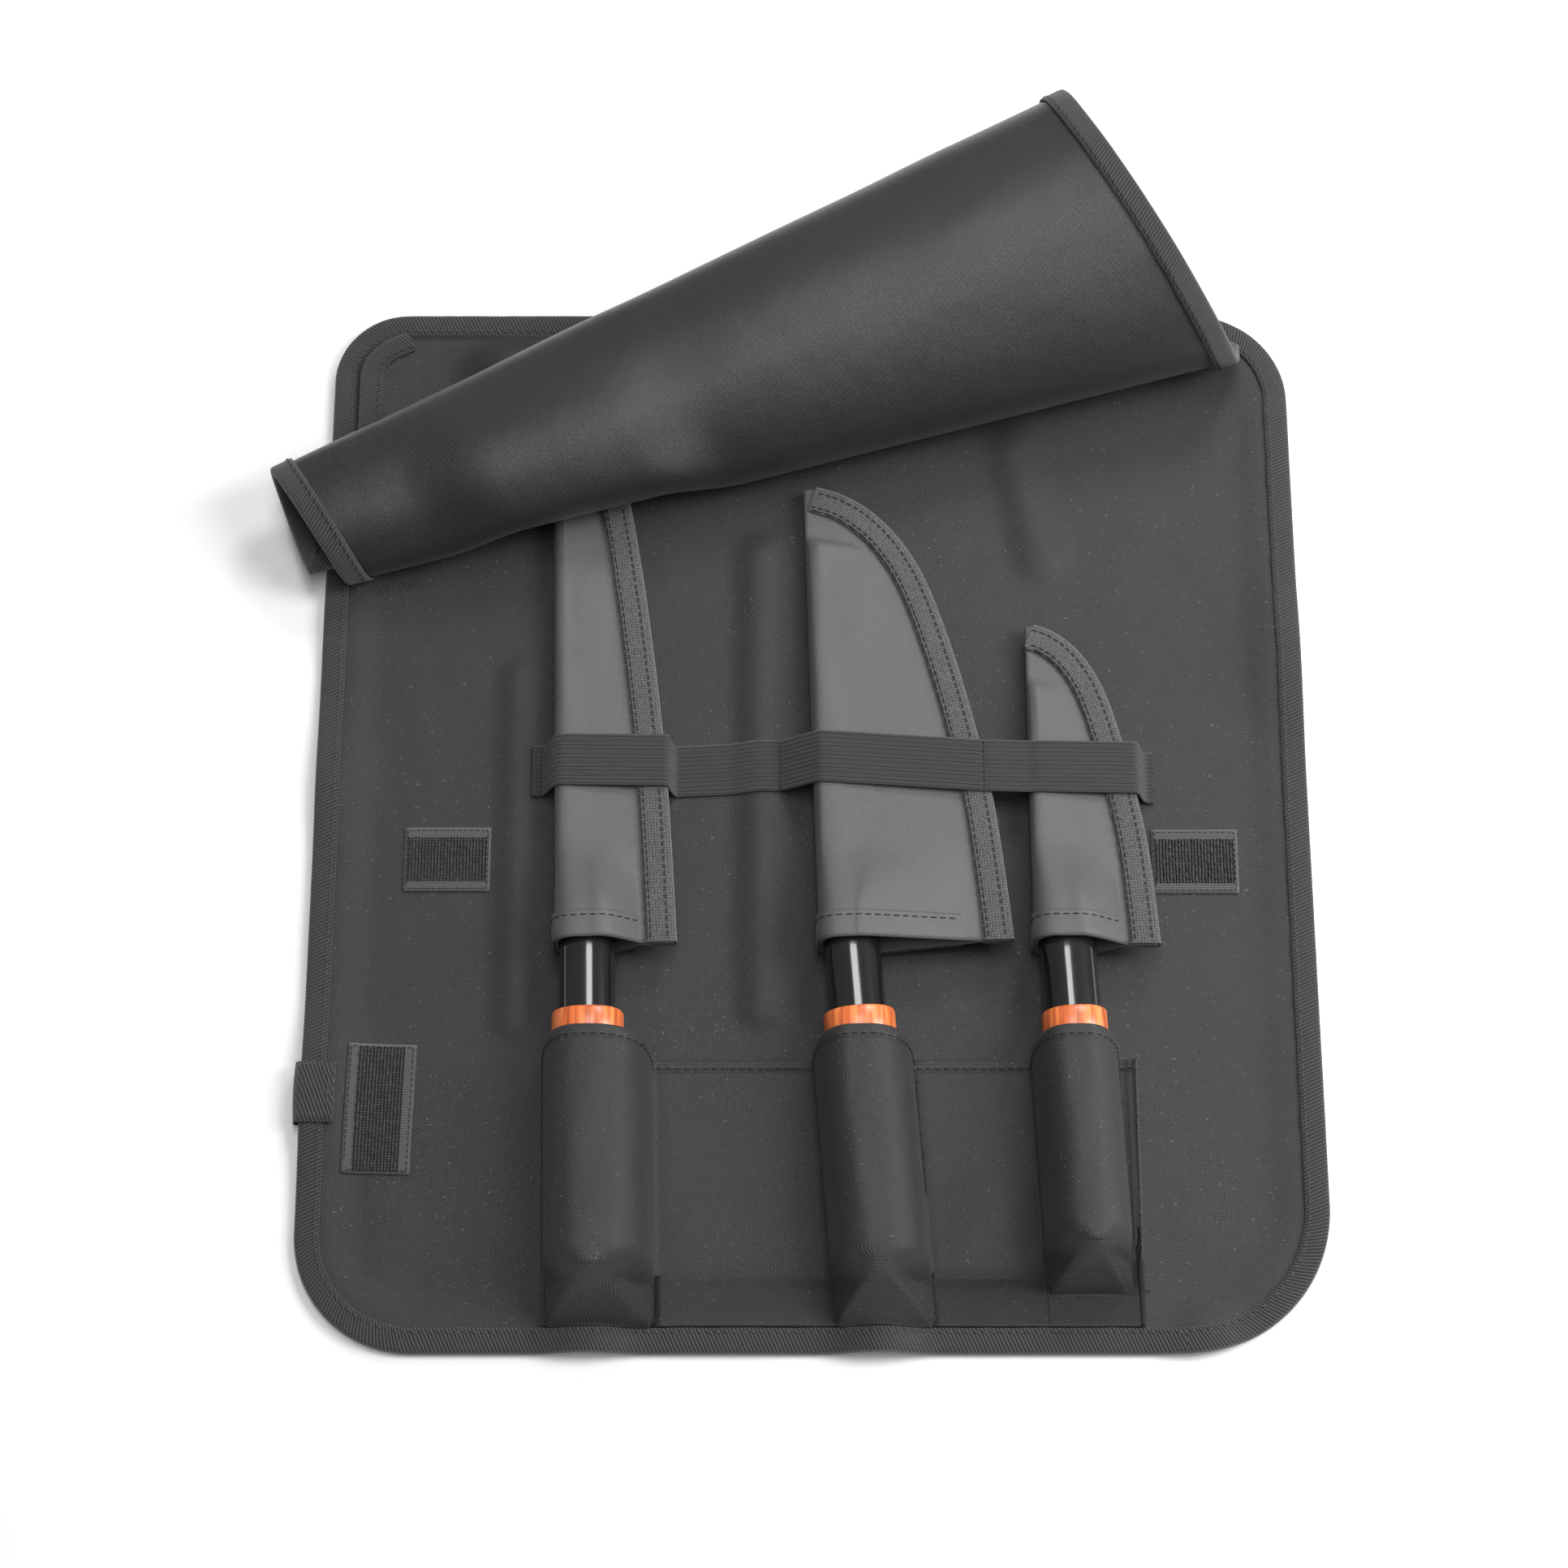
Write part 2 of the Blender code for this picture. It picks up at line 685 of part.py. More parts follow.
class Knife:
    """One knife in its sheath. Local frame: +Y to the tip, +X to the edge, origin at the ferrule's front."""

    def __init__(self, row, grip):
        for column, value in zip(KNIFE_COLUMNS + GRIP_COLUMNS, row + grip):
            setattr(self, column, value)
        self.mouth = -SHEATH_OVERLAP
        self.left = -SPINE_OFFSET
        tilt = -math.atan(self.drop)
        place = Matrix.Translation((self.x, GRIP_Y, AXIS_HEIGHT))
        self.blade_matrix = place @ Matrix.Rotation(math.radians(self.sheath_yaw), 4, "Z")
        self.blade_matrix = self.blade_matrix @ Matrix.Rotation(tilt, 4, "X")
        self.grip_matrix = place @ Matrix.Rotation(math.radians(self.handle_yaw), 4, "Z")
        self.grip_matrix = self.grip_matrix @ Matrix.Rotation(tilt, 4, "X")

    def y_at(self, share):
        return self.mouth + self.length * share

    def right(self, y):
        share = min(max((y - self.mouth) / self.length, 0.0), 1.0)
        return self.left + self.width * table_value(SHEATH_EDGE, share)

    def seam(self, y):
        """Inner side of the stitched seam, along x, where the binding's reach is square to the edge."""
        clear = SEAM_WIDTH + 4 * GAP
        least = self.right(y) - clear
        for step in range(-8, 9):
            away = clear * step / 8
            if y + away <= self.y_at(1.0):
                least = min(least, self.right(y + away) - math.sqrt(clear * clear - away * away))
        if y > self.y_at(1.0) - 1.5 * clear:
            least = self.left
        return max(least, self.left + SEAM_HALF_THICK)

    def hollow_end(self):
        """Last section, counted from the mouth, that is wide enough to be hollow."""
        last = self.mouth
        for share in SHEATH_ROWS:
            y = self.y_at(share)
            if self.seam(y) - self.left > HOLLOW_LEAST:
                last = y
        return last

    def spine_half(self, y):
        room = (self.seam(y) - self.left - SPINE_ROOM_FROM) / SPINE_ROOM
        return mix(SEAM_HALF_THICK, self.spine, smooth(room))

    def swell(self, y):
        return 1.0 - smooth((y - SWELL_FROM) / SWELL_LENGTH)

    def outer_line(self, y):
        """Upper outer line of the sheath's section, from the spine side to the seam."""
        half = self.spine_half(y)
        seam = self.seam(y)
        flat = SEAM_HALF_THICK
        span = seam - self.left

        def slope(x):
            start = self.left + half
            share = min(max((x - start) / max(seam - start, 1e-6), 0.0), 1.0)
            return mix(half, flat, share)

        wide = FERRULE_HALF_WIDTH + SHEATH_CLOTH + 2 * GAP
        tall = FERRULE_HALF_THICK + SHEATH_CLOTH + 2 * GAP
        slim = [
            (self.left, 0.0),
            (self.left + half * 0.3, half * 0.72),
            (self.left + half, half),
            (self.left + max(span * 0.30, half), slope(self.left + max(span * 0.30, half))),
            (self.left + max(span * 0.55, half), slope(self.left + max(span * 0.55, half))),
        ]
        full = [
            (-wide, 0.0),
            (-wide * 0.97, tall * 0.62),
            (-wide * 0.62, tall * 0.985),
            (wide * 0.05, tall * SWELL_TOP),
            (wide * 0.68, tall * 0.96),
        ]
        share = self.swell(y)
        line = []
        for (x1, z1), (x2, z2) in zip(slim, full):
            line.append((mix(x1, x2, share), mix(z1, z2, share)))
        line.append((seam, flat))
        return line


def knife_empty(name, matrix):
    empty = bpy.data.objects.new(name, None)
    bpy.context.scene.collection.objects.link(empty)
    empty.matrix_world = matrix
    return empty


def sheath(materials, knife, parent):
    """Cloth sheath: rounded at the spine, swollen over the ferrule, sewn flat along the edge."""
    body = Body()
    outer_loops = []
    inner_loops = []
    for share in SHEATH_ROWS:
        y = knife.y_at(share)
        top = knife.outer_line(y)
        top.append((knife.right(y), SEAM_HALF_THICK))
        loop = top + [(x, -z) for x, z in reversed(top[1:])]
        outer_loops.append([(x, y, z) for x, z in loop])
        line = knife.outer_line(y)
        if y <= knife.hollow_end():
            mirror = [(x, -z) for x, z in reversed(line[1:-1])]
            inner = shift_line(mirror + line[:-1], -SHEATH_CLOTH)
            close = line[-1][0] - SHEATH_CLOTH
            least = SEAM_HALF_THICK - SHEATH_CLOTH + GAP
            inner = [(min(x, close - 0.001), z) for x, z in inner]
            inner = [(close, -least)] + inner + [(close, least)]
            inner_loops.append([(x, y, z) for x, z in inner])
    body.skin(outer_loops)
    body.face(*outer_loops[-1])
    body.skin([list(reversed(loop)) for loop in inner_loops])
    body.face(*reversed(inner_loops[-1]))
    bridge_rim(body, outer_loops[0], inner_loops[0])
    return body.build(knife.name + "_sheath", materials["sheath_cloth"], parent)


def bridge_rim(body, outer, inner):
    """Closes the sheath's mouth between its outer and inner loops."""
    half = len(inner) // 2
    top_outer = outer[:7]
    bottom_outer = [outer[0]] + list(reversed(outer[7:]))
    top_inner = inner[half:]
    bottom_inner = list(reversed(inner[:half + 1]))
    for outer_line, inner_line, flip in ((top_outer, top_inner, True), (bottom_outer, bottom_inner, False)):
        count = min(len(outer_line), len(inner_line))
        for i in range(count - 1):
            ring = [outer_line[i], outer_line[i + 1], inner_line[i + 1], inner_line[i]]
            if flip:
                ring.reverse()
            body.face(*ring)
    body.face(inner[-1], inner[0], outer[8], outer[7], outer[6], outer[5])


def sheath_binding(materials, knife, parent):
    section = tape_section(SEAM_WIDTH - GAP, SEAM_HALF_THICK + GAP, TAPE, TAPE + GAP)
    body = Body()
    loops = []
    for share in SHEATH_ROWS:
        y = knife.y_at(share)
        x = knife.right(y)
        step = 0.0004
        rise = (knife.right(y + step) - knife.right(y - step)) / (2 * step)
        if share in (0.0, 1.0):
            rise = rise * 2.0
        normal = Vector((1.0, -rise)).normalized()
        loop = []
        for outward, height in section:
            reach = outward
            if outward < 0.0:
                reach = max(outward, (knife.left - GAP - x) / max(normal.x, 0.2))
            spot = Vector((x, y)) + normal * reach
            loop.append((spot.x, max(spot.y, knife.mouth), height))
        loops.append(loop)
    body.loft(loops)
    return body.build(knife.name + "_sheath_binding", materials["sheath_tape"], parent)


def mouth_band(materials, knife, parent):
    """Turned hem round the sheath's mouth, open at the seam side."""
    body = Body()
    loops = []
    for y in (knife.mouth - GAP, knife.mouth + MOUTH_BAND):
        top = knife.outer_line(y)
        shrink = knife.seam(y) - 3 * GAP
        last = top[-2]
        share = (shrink - last[0]) / (top[-1][0] - last[0])
        top[-1] = (shrink, mix(last[1], top[-1][1], share))
        around = [(x, -z) for x, z in reversed(top[1:])] + top
        inner = shift_line(around, GAP * 1.5)
        outer = shift_line(around, GAP * 1.5 + MOUTH_BAND_CLOTH)
        loops.append([(x, y, z) for x, z in outer + list(reversed(inner))])
    body.loft(loops)
    return body.build(knife.name + "_mouth_band", materials["sheath_tape"], parent)


def blade(materials, knife, parent):
    """Single piece blade: a wedge from the spine to the edge, narrowed at its heel."""
    body = Body()
    loops = []
    heel = 0.035
    rows = (0.0, heel, 0.05, 0.18, 0.36, 0.55, 0.75, 0.90, 1.0)
    end = knife.hollow_end() - BLADE_SHORT
    for share in rows:
        y = mix(EASE, end, share)
        half = knife.spine_half(y) - SHEATH_CLOTH - 2 * GAP
        half = max(half, BLADE_LEAST)
        left = knife.left + SHEATH_CLOTH + 3 * GAP + half
        right = max(knife.seam(y) - SHEATH_CLOTH - EDGE_CLEARANCE, left + 2 * EDGE_HALF_THICK)
        if share <= heel:
            left = -HEEL_HALF_WIDTH
            right = HEEL_HALF_WIDTH
            half = min(half, HEEL_HALF_THICK)
        edge = min(EDGE_HALF_THICK, half)
        loops.append([(left, y, -half), (right, y, -edge), (right, y, edge), (left, y, half)])
    body.loft([list(reversed(loop)) for loop in loops])
    return body.build(knife.name + "_blade", materials["steel"], parent)


def oval(half_width, half_thick, y, count=12):
    """Closed rounded section across the handle's axis."""
    loop = []
    for i in range(count):
        angle = 2 * math.pi * (i + 0.5) / count
        c = math.cos(angle)
        s = math.sin(angle)
        x = math.copysign(abs(c) ** 0.8, c) * half_width
        z = math.copysign(abs(s) ** 0.8, s) * half_thick
        loop.append((x, y, z))
    return loop


def handle(materials, knife, parent):
    """Ferrule, the core through the collar and the grip, as one black piece."""
    narrow_w = FERRULE_HALF_WIDTH
    narrow_t = FERRULE_HALF_THICK
    wide_w = knife.half_width - COLLAR_STEP
    wide_t = knife.half_thick - COLLAR_STEP
    collar_from = -FERRULE_LENGTH
    collar_to = collar_from - COLLAR_LENGTH
    sections = (
        (0.0, narrow_w * 0.95, narrow_t * 0.95),
        (-FERRULE_ROUND, narrow_w, narrow_t),
        (collar_from - GAP, narrow_w, narrow_t),
        (collar_from - GAP, narrow_w * CORE_SHARE, narrow_t * CORE_SHARE),
        (collar_to - GAP, narrow_w * CORE_SHARE, narrow_t * CORE_SHARE),
        (collar_to - GAP, wide_w, wide_t),
        (-HANDLE_LENGTH + GRIP_ROUND, wide_w, wide_t),
        (-HANDLE_LENGTH, wide_w * 0.82, wide_t * 0.82),
    )
    body = Body()
    body.loft([oval(width, thick, y) for y, width, thick in sections])
    return body.build(knife.name + "_handle", materials["black_horn"], parent)


def collar(materials, knife, parent):
    """Wooden ring between the ferrule and the grip."""
    front = -FERRULE_LENGTH - 2 * GAP
    back = -FERRULE_LENGTH - COLLAR_LENGTH
    soft = COLLAR_ROUND
    bore_w = FERRULE_HALF_WIDTH * CORE_SHARE + GAP
    bore_t = FERRULE_HALF_THICK * CORE_SHARE + GAP
    sections = (
        (front, knife.half_width - soft, knife.half_thick - soft),
        (front - soft, knife.half_width, knife.half_thick),
        (back + soft, knife.half_width, knife.half_thick),
        (back, knife.half_width - soft, knife.half_thick - soft),
        (back, bore_w, bore_t),
        (front, bore_w, bore_t),
    )
    body = Body()
    body.loft([oval(width, thick, y) for y, width, thick in sections], closed=True)
    return body.build(knife.name + "_collar", materials["wood"], parent)


def knife_set(materials, knife):
    blade_frame = knife_empty(knife.name + "_blade_frame", knife.blade_matrix)
    grip_frame = knife_empty(knife.name + "_grip_frame", knife.grip_matrix)
    sheath(materials, knife, blade_frame)
    sheath_binding(materials, knife, blade_frame)
    mouth_band(materials, knife, blade_frame)
    blade(materials, knife, blade_frame)
    handle(materials, knife, grip_frame)
    collar(materials, knife, grip_frame)


def upper_hull(points):
    """Upper side of the convex hull of 2D points, left to right."""
    hull = []
    for point in sorted(points):
        while len(hull) > 1:
            (x1, y1), (x2, y2) = hull[-2], hull[-1]
            if (x2 - x1) * (point[1] - y1) - (y2 - y1) * (point[0] - x1) >= 0:
                hull.pop()
            else:
                break
        hull.append(point)
    return hull


def sheath_crown(knife, y_low, y_high):
    """Highest outer points of a sheath and its binding under a band, as x and z in the world."""
    points = []
    for world_y in (y_low, (y_low + y_high) / 2, y_high):
        y = (world_y - GRIP_Y) / math.cos(math.radians(knife.sheath_yaw))
        line = knife.outer_line(y)
        line.append((knife.seam(y) + GAP, SEAM_HALF_THICK + GAP + TAPE))
        line.append((knife.right(y) + TAPE + GAP, SEAM_HALF_THICK + GAP + TAPE))
        for x, z in line[1:]:
            spot = knife.blade_matrix @ Vector((x, y, z))
            points.append((spot.x, spot.z))
    return points


def elastic_band(materials, knives):
    """Elastic: stitched to the panel between the knives, and stretched over each sheath."""
    half = ELASTIC_WIDTH / 2
    axes = {knife.name: knife.x for knife in knives}
    stitches = [(axes[name] + x, y * PANEL_DEPTH / 2) for name, x, y in ELASTIC_STITCHES]
    spans = ((0, 1, knives[0]), (1, 2, None), (2, 3, knives[1]), (3, 4, knives[2]))

    def floor(x, y):
        edges = (y - half, y, y + half)
        return max(ground_top(x, edge) for edge in edges)

    line = []
    for start, stop, knife in spans:
        x1, y1 = stitches[start]
        x2, y2 = stitches[stop]
        low = [(x1, floor(x1, y1)), (x2, floor(x2, y2))]
        if knife is None:
            part = [(mix(x1, x2, i / 6), 0.0) for i in range(7)]
            part = [(x, floor(x, mix(y1, y2, (x - x1) / (x2 - x1)))) for x, _ in part]
        else:
            middle = (y1 + y2) / 2
            crown = sheath_crown(knife, middle - half - ELASTIC_SLACK, middle + half + ELASTIC_SLACK)
            part = upper_hull([(x, z + EASE) for x, z in crown] + low)
        line += part if not line else part[1:]

    def middle_y(x):
        for (x1, y1), (x2, y2) in zip(stitches, stitches[1:]):
            if x <= x2:
                return mix(y1, y2, max(x - x1, 0.0) / (x2 - x1))
        return stitches[-1][1]

    start_x = line[0][0]
    end_x = line[-1][0]
    end_z = floor(end_x, middle_y(end_x))
    line = [(start_x - ELASTIC_LEFT_TAB, line[0][1]), (start_x - ELASTIC_FOLD, line[0][1])] + line[1:-1]
    line += [(end_x + ELASTIC_FOLD, end_z), (end_x + ELASTIC_RIGHT_TAB, end_z)]
    upper = shift_line(line, ELASTIC_CLOTH)
    body = Body()
    loops = []
    for (x1, z1), (x2, z2) in zip(line, upper):
        y = middle_y(x1)
        loops.append([(x1, y - half, z1), (x1, y + half, z1), (x2, y + half, z2), (x2, y - half, z2)])
    body.loft(loops)
    return body.build("elastic_band", materials["elastic"])


def pocket_rows(knives):
    """Rows of the pocket strip from its top hem down, each a line of x, y and z of the cloth's underside."""
    bottom = -PANEL_DEPTH / 2 + BINDING_REACH + GAP
    levels = (0.0, 0.10, 0.33, 0.56, 0.74, 0.86, 0.93, 1.0)
    steps = 10
    rows = []
    for level in levels:
        row = []

        def flat_point(x, lift=0.0):
            y = mix(POCKET_TOP, bottom, level)
            row.append((x, y, ground_top(x, y) + GAP + lift))

        for number, knife in enumerate(knives):
            y_plain = mix(POCKET_TOP, bottom, level)
            axis = knife.x + (GRIP_Y - y_plain) * math.tan(math.radians(knife.handle_yaw))
            left = axis - knife.pocket_left
            right = axis + knife.pocket_right
            if number == 0:
                flat_point(left - POCKET_MARGIN)
            ending = smooth((knife.end_from + POCKET_TENT_FROM - y_plain) / POCKET_TENT_FADE)
            power = mix(POCKET_ROUND, POCKET_TENT, ending)
            fall = min(max((y_plain - knife.end_to) / (knife.end_from - knife.end_to), 0.0), 1.0)
            for step in range(steps + 1):
                angle = math.pi * step / steps
                side = -math.cos(angle)
                across = math.copysign(abs(side) ** (2 / power), side)
                round_z = abs(math.sin(angle)) ** (2 / power)
                reach = knife.pocket_left if side < 0 else knife.pocket_right
                x = axis + across * reach
                y = mix(POCKET_TOP + POCKET_CROWN_RISE * round_z, bottom, level)
                crown = AXIS_HEIGHT + knife.drop * (GRIP_Y - y) + knife.half_thick + EASE * 2
                ground = ground_top(x, y) + GAP
                height = max(crown - ground, 0.0)
                row.append((x, y, ground + height * min(round_z, fall)))
            if number < len(knives) - 1:
                following = knives[number + 1]
                next_axis = following.x + (GRIP_Y - y_plain) * math.tan(math.radians(following.handle_yaw))
                for share in (0.12, 0.37, 0.63, 0.88):
                    flat_point(mix(right, next_axis - following.pocket_left, share))
            else:
                edge = axis + knife.pocket_right
                flat_point(mix(edge, FIN_X - POCKET_MARGIN, 0.6))
                flat_point(FIN_X - POCKET_MARGIN)
                flat_point(FIN_X, POCKET_FIN * (1.0 - 0.7 * smooth(level * 8 - 6.2)))
        rows.append(row)
    return rows


def pocket_strip(materials, knives):
    upper = []
    lower = []
    for row in pocket_rows(knives):
        line = [(x, z) for x, _, z in row]
        raised = shift_line(line, POCKET_CLOTH)
        lower.append([Vector(point) for point in row])
        upper.append([Vector((x, y, z)) for (x, z), (_, y, _) in zip(raised, row)])
    body = Body()
    body.sheet(list(reversed(upper)), list(reversed(lower)))
    return body.build("pocket_strip", materials["canvas"])


def laid_plate(x, y, turn, width, depth, lift, thick):
    """Thin cloth plate laid on the panel, turned about its own middle."""
    spots = (-0.5, -0.25, 0.0, 0.25, 0.5)
    c = math.cos(math.radians(turn))
    s = math.sin(math.radians(turn))
    lower = []
    upper = []
    for j in spots:
        low = []
        for i in spots:
            px = x + c * i * width - s * j * depth
            py = y + s * i * width + c * j * depth
            low.append((px, py, ground_top(px, py, PATCH_SPAN) + lift))
        lower.append(low)
        upper.append([(px, py, pz + thick) for px, py, pz in low])
    body = Body()
    body.sheet(upper, lower)
    return body


def patches(materials):
    for name, x_share, y_share, turn, tall in PATCHES:
        width = TALL_PATCH_WIDTH if tall else PATCH_WIDTH
        depth = TALL_PATCH_DEPTH if tall else PATCH_DEPTH
        x = x_share * PANEL_WIDTH / 2
        y = y_share * PANEL_DEPTH / 2
        side = PILE_MARGIN if tall else GAP * 4
        end = GAP * 4 if tall else PILE_MARGIN
        tape = laid_plate(x, y, turn, width, depth, 0.0, PATCH_TAPE)
        tape.build(name + "_tape", materials["hook_tape"])
        pile = laid_plate(x, y, turn, width - 2 * side, depth - 2 * end, PATCH_TAPE + GAP, PILE_HEIGHT)
        pile.build(name + "_pile", materials["hook_pile"])


def side_tab(materials):
    """Short ribbon folded round the left edge."""
    edge = -PANEL_WIDTH / 2
    inner = CLOTH / 2 + EASE + TAPE + 3 * GAP
    outer = inner + TAPE
    nose = TAPE + 2 * GAP + TAPE * 1.6
    line = (
        # inwards from the panel's edge, height about the cloth's middle
        (TAB_REACH, outer),
        (-nose * 0.4, outer),
        (-nose, outer * 0.45),
        (-nose, -outer * 0.45),
        (-nose * 0.4, -outer),
        (TAB_REACH * 0.8, -outer),
        (TAB_REACH * 0.8, -inner),
        (-TAPE - 2 * GAP, -inner),
        (-TAPE - 2 * GAP, inner),
        (TAB_REACH, inner),
    )
    body = Body()
    loops = []
    for share in (0.0, 0.25, 0.5, 0.75, 1.0):
        y = TAB_Y + (share - 0.5) * TAB_WIDTH
        loop = []
        for inward, height in line:
            x = edge + inward
            loop.append((x, y, base_height(max(x, edge), y) + CLOTH / 2 + height))
        loops.append(loop)
    body.loft([list(reversed(loop)) for loop in loops])
    return body.build("side_tab", materials["binding_tape"])


def main():
    clear_scene()
    materials = {name: make_material(name) for name in MATERIALS}
    knives = [Knife(row, grip) for row, grip in zip(KNIVES, GRIPS)]
    curl = Curl()
    base_panel(materials)
    edge_binding(materials)
    top_flap(materials, curl)
    flap_binding(materials, curl)
    for knife in knives:
        knife_set(materials, knife)
    elastic_band(materials, knives)
    pocket_strip(materials, knives)
    patches(materials)
    side_tab(materials)


main()
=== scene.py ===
"""Chef knife roll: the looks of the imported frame, as cloth, tape, stitching, wood and polished horn.

Metres, in the part's own frame: z = 0 is the table, +Y runs up the panel to the flap, +X to the right.
"""
import math
import random

import bpy
from mathutils import Matrix, Vector, noise
from mathutils.bvhtree import BVHTree


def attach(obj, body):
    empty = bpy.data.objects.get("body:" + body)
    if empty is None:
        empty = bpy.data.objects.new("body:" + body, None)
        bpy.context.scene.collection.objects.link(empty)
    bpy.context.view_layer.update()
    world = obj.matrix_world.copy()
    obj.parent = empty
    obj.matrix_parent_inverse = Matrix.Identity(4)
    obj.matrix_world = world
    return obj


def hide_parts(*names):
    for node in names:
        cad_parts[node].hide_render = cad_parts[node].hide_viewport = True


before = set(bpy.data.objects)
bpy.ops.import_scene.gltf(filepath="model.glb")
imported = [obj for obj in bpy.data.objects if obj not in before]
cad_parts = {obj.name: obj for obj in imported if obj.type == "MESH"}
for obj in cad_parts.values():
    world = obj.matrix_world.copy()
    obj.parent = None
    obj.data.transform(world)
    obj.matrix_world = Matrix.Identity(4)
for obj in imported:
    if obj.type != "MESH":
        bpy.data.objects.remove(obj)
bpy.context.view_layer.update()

# Sizes shared with the frame
CLOTH = 0.0016
TAPE = 0.0010
GAP = 0.0003
EASE = 0.00045
PANEL_WIDTH = 0.3675
PANEL_DEPTH = 0.404
BINDING_REACH = 0.008
RIM_FADE = 0.013
CORNER_RADII = {(-1, -1): 0.0420, (1, -1): 0.0521, (1, 1): 0.0351, (-1, 1): 0.0271}

# Soft folds of the panel: ends of the fold's line as shares of the half width and half depth,
# half width and height in metres
FOLDS = (
    # x1, y1, x2, y2, half width, height
    (-0.60, 0.26, -0.595, -0.40, 0.0103, 0.0020),
    (-0.105, 0.50, -0.100, -0.38, 0.0125, 0.0029),
    (0.43, 0.72, 0.48, 0.50, 0.0147, 0.0029),
    (0.33, -0.82, 0.35, -0.76, 0.0243, 0.0022),
    (-0.43, -1.00, -0.43, -1.20, 0.0217, 0.0055),
    (0.13, -1.00, 0.13, -1.20, 0.0217, 0.0070),
    (0.76, -1.00, 0.76, -1.20, 0.0217, 0.0033),
    (-1.00, -0.545, -1.20, -0.545, 0.0404, 0.0029),
    (1.00, 0.30, 1.10, 0.24, 0.0404, 0.0029),
    (-1.00, 0.06, -1.10, 0.06, 0.0331, 0.0018),
)

# The flap, and the cone that it is rolled on: heading reached in degrees, arc about the apex in radians
FLAP_CLOTH = 0.0014
FLAP_LEFT = -PANEL_WIDTH / 2 + 0.010
FLAP_RIGHT = PANEL_WIDTH / 2 - 0.018
FLAP_LENGTH = 0.230
FLAP_FLARE = 0.012
FLAP_TAPER = 0.012
FLAP_CORNER = 0.030
APEX_BEYOND = 0.235
APEX_Y = 0.0265
FOLD_ANGLE = math.radians(16.8)
CURL = (
    (130.0, 0.092),
    (200.0, 0.185),
    (300.0, 0.057),
    (360.0, 0.07),
    (372.0, 0.11),
)

# Knives: handle axis x, sheath and handle yaw in degrees, tip drop per metre, sheath length, width at the
# mouth, half thickness at the spine, handle half width and half thickness
KNIVES = (
    # name, x, sheath yaw, handle yaw, drop, length, width, spine, half width, half thickness
    ("slicer", -0.0817, 1.50, 1.3, 0.042, 0.231, 0.0433, 0.0036, 0.0130, 0.0120),
    ("deba", 0.0142, 1.65, 4.4, 0.045, 0.184, 0.0700, 0.0045, 0.0130, 0.0120),
    ("petty", 0.0925, 0.00, 2.7, 0.062, 0.127, 0.0450, 0.0034, 0.0118, 0.0112),
)
KNIFE_COLUMNS = (
    "name", "x", "sheath_yaw", "handle_yaw", "drop", "length", "width", "spine", "half_width", "half_thick",
)
GRIP_Y = -0.050
FERRULE_LENGTH = 0.0325
FERRULE_HALF_WIDTH = 0.0101
FERRULE_HALF_THICK = 0.0093
COLLAR_LENGTH = 0.0115
SHEATH_CLOTH = 0.0011
SHEATH_OVERLAP = 0.007
SPINE_OFFSET = 0.012
SEAM_WIDTH = 0.0104
SEAM_HALF_THICK = 0.0012
SWELL_LENGTH = 0.034
MOUTH_BAND = 0.010
AXIS_HEIGHT = 0.01478
SHEATH_EDGE = (
    (0.00, 1.000),
    (0.15, 0.970),
    (0.30, 0.930),
    (0.45, 0.862),
    (0.63, 0.755),
    (0.79, 0.625),
    (0.88, 0.500),
    (0.945, 0.350),
    (0.985, 0.190),
    (1.00, 0.070),
)

# Elastic band, its stitched places along x and y
ELASTIC_WIDTH = 0.020
ELASTIC_CLOTH = 0.0012
ELASTIC_STITCHES = ((-0.1000, 0.0141), (-0.0526, 0.0139), (-0.0114, 0.0160), (0.0641, 0.0119), (0.1238, 0.0113))

# Pockets: half widths left and right of the handle's axis, where the end starts and stops along y
POCKET_TOP = -0.097
POCKET_BOTTOM = -PANEL_DEPTH / 2 + BINDING_REACH + GAP
POCKET_CLOTH = 0.0014
POCKET_RISE = 0.0065
FIN_X = 0.1175
POCKETS = (
    # left, right, end from, end to
    (0.0153, 0.0212, -0.176, -0.1932),
    (0.0163, 0.0170, -0.176, -0.1932),
    (0.0145, 0.0138, -0.168, -0.1815),
)

# Patches: name, x, y, turn in degrees, width, depth, selvedge on the sides, selvedge on the ends
PATCHES = (
    ("left_patch", -0.1349, -0.0202, 0.0, 0.032, 0.0248, 0.0012, 0.0038),
    ("right_patch", 0.1419, -0.0210, 0.0, 0.032, 0.0248, 0.0012, 0.0038),
    ("lower_patch", -0.1564, -0.1147, -1.4, 0.0245, 0.048, 0.0038, 0.0012),
)

random.seed(7)


def smooth(share):
    share = min(max(share, 0.0), 1.0)
    return share * share * (3.0 - 2.0 * share)


def mix(a, b, share):
    return a + (b - a) * share


def ripple(x, y, scale, seed):
    """Soft noise in -1..1."""
    return noise.noise(Vector((x / scale, y / scale, seed)))


# ---------------------------------------------------------------- materials

